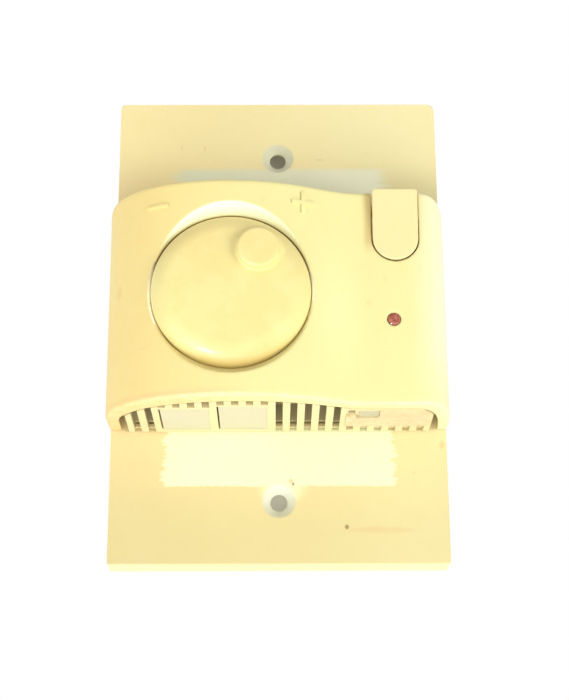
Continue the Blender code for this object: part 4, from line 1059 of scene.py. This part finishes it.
def pocket_tones(graph, base):
    """Painted light on the upper wall of the dial's pocket, and in the gap round the dial painted shade at
    its top and painted light below it.
    """
    _, up, radius = from_dial_centre(graph)
    height = graph.height()
    flare = (POCKET_RADIUS - DIAL_RADIUS) / (HUMP_HEIGHT - DIAL_RIM_HEIGHT)
    wall = graph.math("MULTIPLY_ADD", height, flare, DIAL_RADIUS - flare * DIAL_RIM_HEIGHT)
    in_pocket = graph.span(graph.math("SUBTRACT", radius, wall), 0.05, 0.35, 1.0, 0.0)
    above_rim = graph.span(height, DIAL_RIM_HEIGHT + 0.3, DIAL_RIM_HEIGHT + 0.7)
    # Painted light: the pocket's upper wall, which faces down towards the light, is painted pale
    lit_pocket_wall = graph.product(in_pocket, above_rim, graph.span(up, 5.0, 15.0))
    base = graph.mix(lit_pocket_wall, base, (0.910, 0.925, 0.640))
    # Painted shade in the top of the gap round the dial, dark brown, and painted light in its lower part
    near_dial = graph.span(radius, DIAL_RADIUS + 0.5, DIAL_RADIUS + 0.8, 1.0, 0.0)
    below_rim = graph.span(height, DIAL_RIM_HEIGHT + 0.2, DIAL_RIM_HEIGHT + 0.45, 1.0, 0.0)
    gap_shade_and_light = graph.mix(graph.span(up, -2.0, 10.0), GAP_PAINTED_LIGHT, (0.20, 0.13, 0.05))
    return graph.mix(graph.product(below_rim, near_dial), base, gap_shade_and_light)


def dial_marks(graph, base):
    """Faint mottling from handling, painted shade on the upper part and along the lower edge, and painted
    light on the skirt in the gap.
    """
    mottled = graph.noise(0.14, 4.0, 0.6, 0.4, seed=9.0)
    base = graph.mix(graph.span(mottled, 0.42, 0.62, 0.0, 0.6), base, (0.98, 0.93, 0.84), "MULTIPLY")
    across, up, radius = from_dial_centre(graph)
    # Painted shade on the dial's upper part
    base = graph.mix(graph.span(up, 3.0, 14.0), base, (1.0, 0.955, 0.95), "MULTIPLY")
    # Painted shade along the dial's lower edge, strongest just right of straight down
    lowness = graph.math("SUBTRACT", graph.product(across, 0.2), graph.product(up, 0.98))
    near_edge = graph.span(radius, DIAL_RADIUS - 5.5, DIAL_RADIUS - 2.0)
    shaded_low_edge = graph.product(near_edge, graph.span(lowness, 11.0, 16.5))
    base = graph.mix(shaded_low_edge, base, (0.96, 0.88, 0.80), "MULTIPLY")
    # Painted light on the dial's skirt in the lower part of the gap
    below_rim = graph.span(graph.height(), DIAL_RIM_HEIGHT - 0.1, DIAL_RIM_HEIGHT - 0.4)
    skirt = graph.product(below_rim, graph.span(up, 6.0, -2.0))
    return graph.mix(skirt, base, GAP_PAINTED_LIGHT)


def grille_look(name, tone):
    return moulded(Graph(name), tone)


def paper_look():
    graph = Graph("label_paper")
    fibres = graph.noise(2.2, 5.0, 0.7, place=graph.stretched(1.0, 3.0, 1.0))
    colour = graph.mix(graph.span(fibres, 0.35, 0.7), (0.56, 0.53, 0.36), (0.53, 0.49, 0.33))
    return graph.done(colour, graph.span(fibres, 0.3, 0.7, 0.55, 0.75), graph.bump(fibres, 0.02, 0.5))


def plain_look(name, light, dark, roughness, metallic=0.0):
    """A small part's finish: two close tones, uneven gloss and a fine grain."""
    graph = Graph(name)
    uneven = graph.noise(1.5, 4.0, 0.6)
    colour = graph.mix(graph.span(uneven, 0.35, 0.68), light, dark)
    graph.fix(Metallic=metallic)
    gloss = graph.span(uneven, 0.3, 0.7, roughness, min(1.0, roughness + 0.15))
    return graph.done(colour, gloss, graph.bump(graph.noise(6.0, 2.0), 0.02, 0.6))


def lamp_look():
    graph = Graph("lamp_red")
    mottled = graph.noise(1.6, 3.0, 0.6, seed=2.0)
    colour = graph.mix(graph.span(mottled, 0.40, 0.62), (0.25, 0.050, 0.025), (0.42, 0.150, 0.095))
    graph.fix(Coat_Weight=0.6, Coat_Roughness=0.08)
    return graph.done(colour, 0.22, graph.bump(mottled, 0.02, 0.4))


# Scene

def area_light(name, direction, distance, size, strength, glossy):
    """A square light aimed at the object. `strength` compares its light there with the white world's."""
    target = Vector(LIGHT_TARGET) * MM
    light = bpy.data.lights.new(name, "AREA")
    light.shape = "SQUARE"
    light.size = size
    light.energy = strength * (math.pi * distance) ** 2
    lamp = bpy.data.objects.new(name, light)
    lamp.location = target + direction * distance
    lamp.rotation_euler = (-direction).to_track_quat("-Z", "Y").to_euler()
    lamp.visible_glossy = glossy
    lamp.visible_diffuse = not glossy
    bpy.context.scene.collection.objects.link(lamp)


def stage_disc(name, hole_z, colour, glow):
    """A bit of the wall, seen through a screw hole; `glow` makes up for light that the hole keeps out."""
    shape = bmesh.new()
    add_turned(shape, rod_profile(WALL_DISC_RADIUS, *WALL_DISC), 0.0, hole_z + WALL_DISC_SHIFT, 48)
    disc = made_from(name, shape)
    graph = Graph(name)
    uneven = graph.noise(0.5, 3.0)
    tone = graph.mix(uneven, tuple(c * 0.94 for c in colour), colour)
    graph.fix(Emission_Color=(*colour, 1.0), Emission_Strength=glow)
    disc.data.materials.append(graph.done(tone, 0.9))


def set_world():
    """White all round, and dimmer in front of the object than behind it."""
    world = bpy.data.worlds.new("studio")
    world.use_nodes = True
    tree = world.node_tree
    direction = tree.nodes.new("ShaderNodeTexCoord")
    split = tree.nodes.new("ShaderNodeSeparateXYZ")
    across = tree.nodes.new("ShaderNodeMapRange")
    across.interpolation_type = "SMOOTHSTEP"
    rise = {"From Min": SKY_RISE[0], "From Max": SKY_RISE[1], "To Min": FRONT_SKY, "To Max": 1.0}
    for key, value in rise.items():
        across.inputs[key].default_value = value
    tree.links.new(direction.outputs["Generated"], split.inputs[0])
    tree.links.new(split.outputs["Y"], across.inputs["Value"])
    tree.nodes["Background"].inputs["Color"].default_value = (1.0, 1.0, 1.0, 1.0)
    tree.links.new(across.outputs["Result"], tree.nodes["Background"].inputs["Strength"])
    bpy.context.scene.world = world


def set_floor():
    mesh = bpy.data.meshes.new("floor")
    half, level = FLOOR_HALF, FLOOR_LEVEL
    corners = [(-half, -half, level), (half, -half, level), (half, half, level), (-half, half, level)]
    mesh.from_pydata(corners, [], [(0, 1, 2, 3)])
    floor = bpy.data.objects.new("floor", mesh)
    bpy.context.scene.collection.objects.link(floor)
    graph = Graph("floor")
    tone = graph.mix(graph.noise(0.01, 3.0), (0.80, 0.79, 0.77), (0.83, 0.82, 0.80))
    mesh.materials.append(graph.done(tone, 0.8))


def set_camera():
    camera_data = bpy.data.cameras.new("camera")
    camera_data.lens = CAMERA_LENS
    camera_data.sensor_width = CAMERA_SENSOR
    camera = bpy.data.objects.new("camera", camera_data)
    camera.rotation_euler = Euler([math.radians(turn) for turn in CAMERA_TURN])
    camera.location = Vector(CAMERA_PLACE) * MM
    bpy.context.scene.collection.objects.link(camera)
    bpy.context.scene.camera = camera


def set_stage():
    bpy.context.scene.view_settings.view_transform = "Standard"
    set_world()
    set_floor()
    for name, direction, distance, size, strength, glossy in LIGHTS:
        area_light(name, Vector(direction).normalized(), distance, size, strength, glossy)
    set_camera()


def build_pieces():
    """The finer pieces, each with its look and body, and the CAD node that it replaces, if any."""
    cream = cream_look("cover_plastic", (0.732, 0.582, 0.228), (0.700, 0.642, 0.292), marks=cover_marks)
    dial_tones = (0.710, 0.620, 0.255), (0.700, 0.620, 0.262)
    dial_cream = cream_look("dial_plastic", *dial_tones, 0.30, 0.24, dial_marks)
    key_tone = (0.700, 0.595, 0.290)
    key_cream = cream_look("key_plastic", key_tone, key_tone, 0.10)
    vent = grille_look("grille_plastic", (0.66, 0.575, 0.315))
    grey = plain_look("patch_grey", (0.46, 0.43, 0.28), (0.43, 0.40, 0.255), 0.6)

    finish(build_plate(), plate_look(), "housing", "plate_plastic", "wall_plate")
    finish(build_cover(), cream, "housing", "cover_plastic", "front_cover")
    finish(build_mark("minus_mark", minus_outline()), cream, "housing", "cover_plastic")
    finish(build_mark("plus_mark", plus_outline()), cream, "housing", "cover_plastic")
    for node, is_lower in (("vent_grille_lower", True), ("vent_grille_upper", False)):
        low, high = limits(node)
        panel = build_grille(node.replace("vent_", ""), low.z, high.z, is_lower)
        finish(panel, vent, "housing", "grille_plastic", node)
    finish(build_patch(), grey, "housing", "patch_grey", "grey_patch")
    finish(build_dial(), dial_cream, "setpoint_dial", "dial_plastic", "dial")
    finish(build_key(), key_cream, "rocker", "key_plastic", "rocker_key")
    finish(build_lamp(), lamp_look(), "housing", "lamp_red", "indicator_lamp")


def dress_nodes():
    """Materials for the CAD nodes that keep their own shape; all that isn't named here is a steel screw."""
    looks = {node: plain_look(*values) for node, *values in NODE_FINISHES}
    looks["moulded_panel"] = grille_look("moulded_field", (0.595, 0.470, 0.262))
    looks["rating_label_left"] = looks["rating_label_right"] = paper_look()
    looks["resistor_2"] = looks["resistor_3"] = looks["resistor_1"]
    looks["pot_shaft"] = plain_look("shaft_steel", (0.62, 0.62, 0.60), (0.52, 0.52, 0.51), 0.3, 1.0)
    steel = plain_look("screw_steel", (0.66, 0.65, 0.62), (0.55, 0.54, 0.51), 0.3, 1.0)
    for name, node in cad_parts.items():
        if node.hide_render:
            continue
        for slot in node.material_slots:
            slot.material = looks.get(name, steel)


def main():
    set_stage()
    build_pieces()
    dress_nodes()
    stage_disc("wall_behind_upper_hole", BOX_SCREW_SPACING / 2, (0.60, 0.59, 0.56), 0.02)
    stage_disc("wall_behind_lower_hole", -BOX_SCREW_SPACING / 2, (0.62, 0.60, 0.50), 0.36)


main()
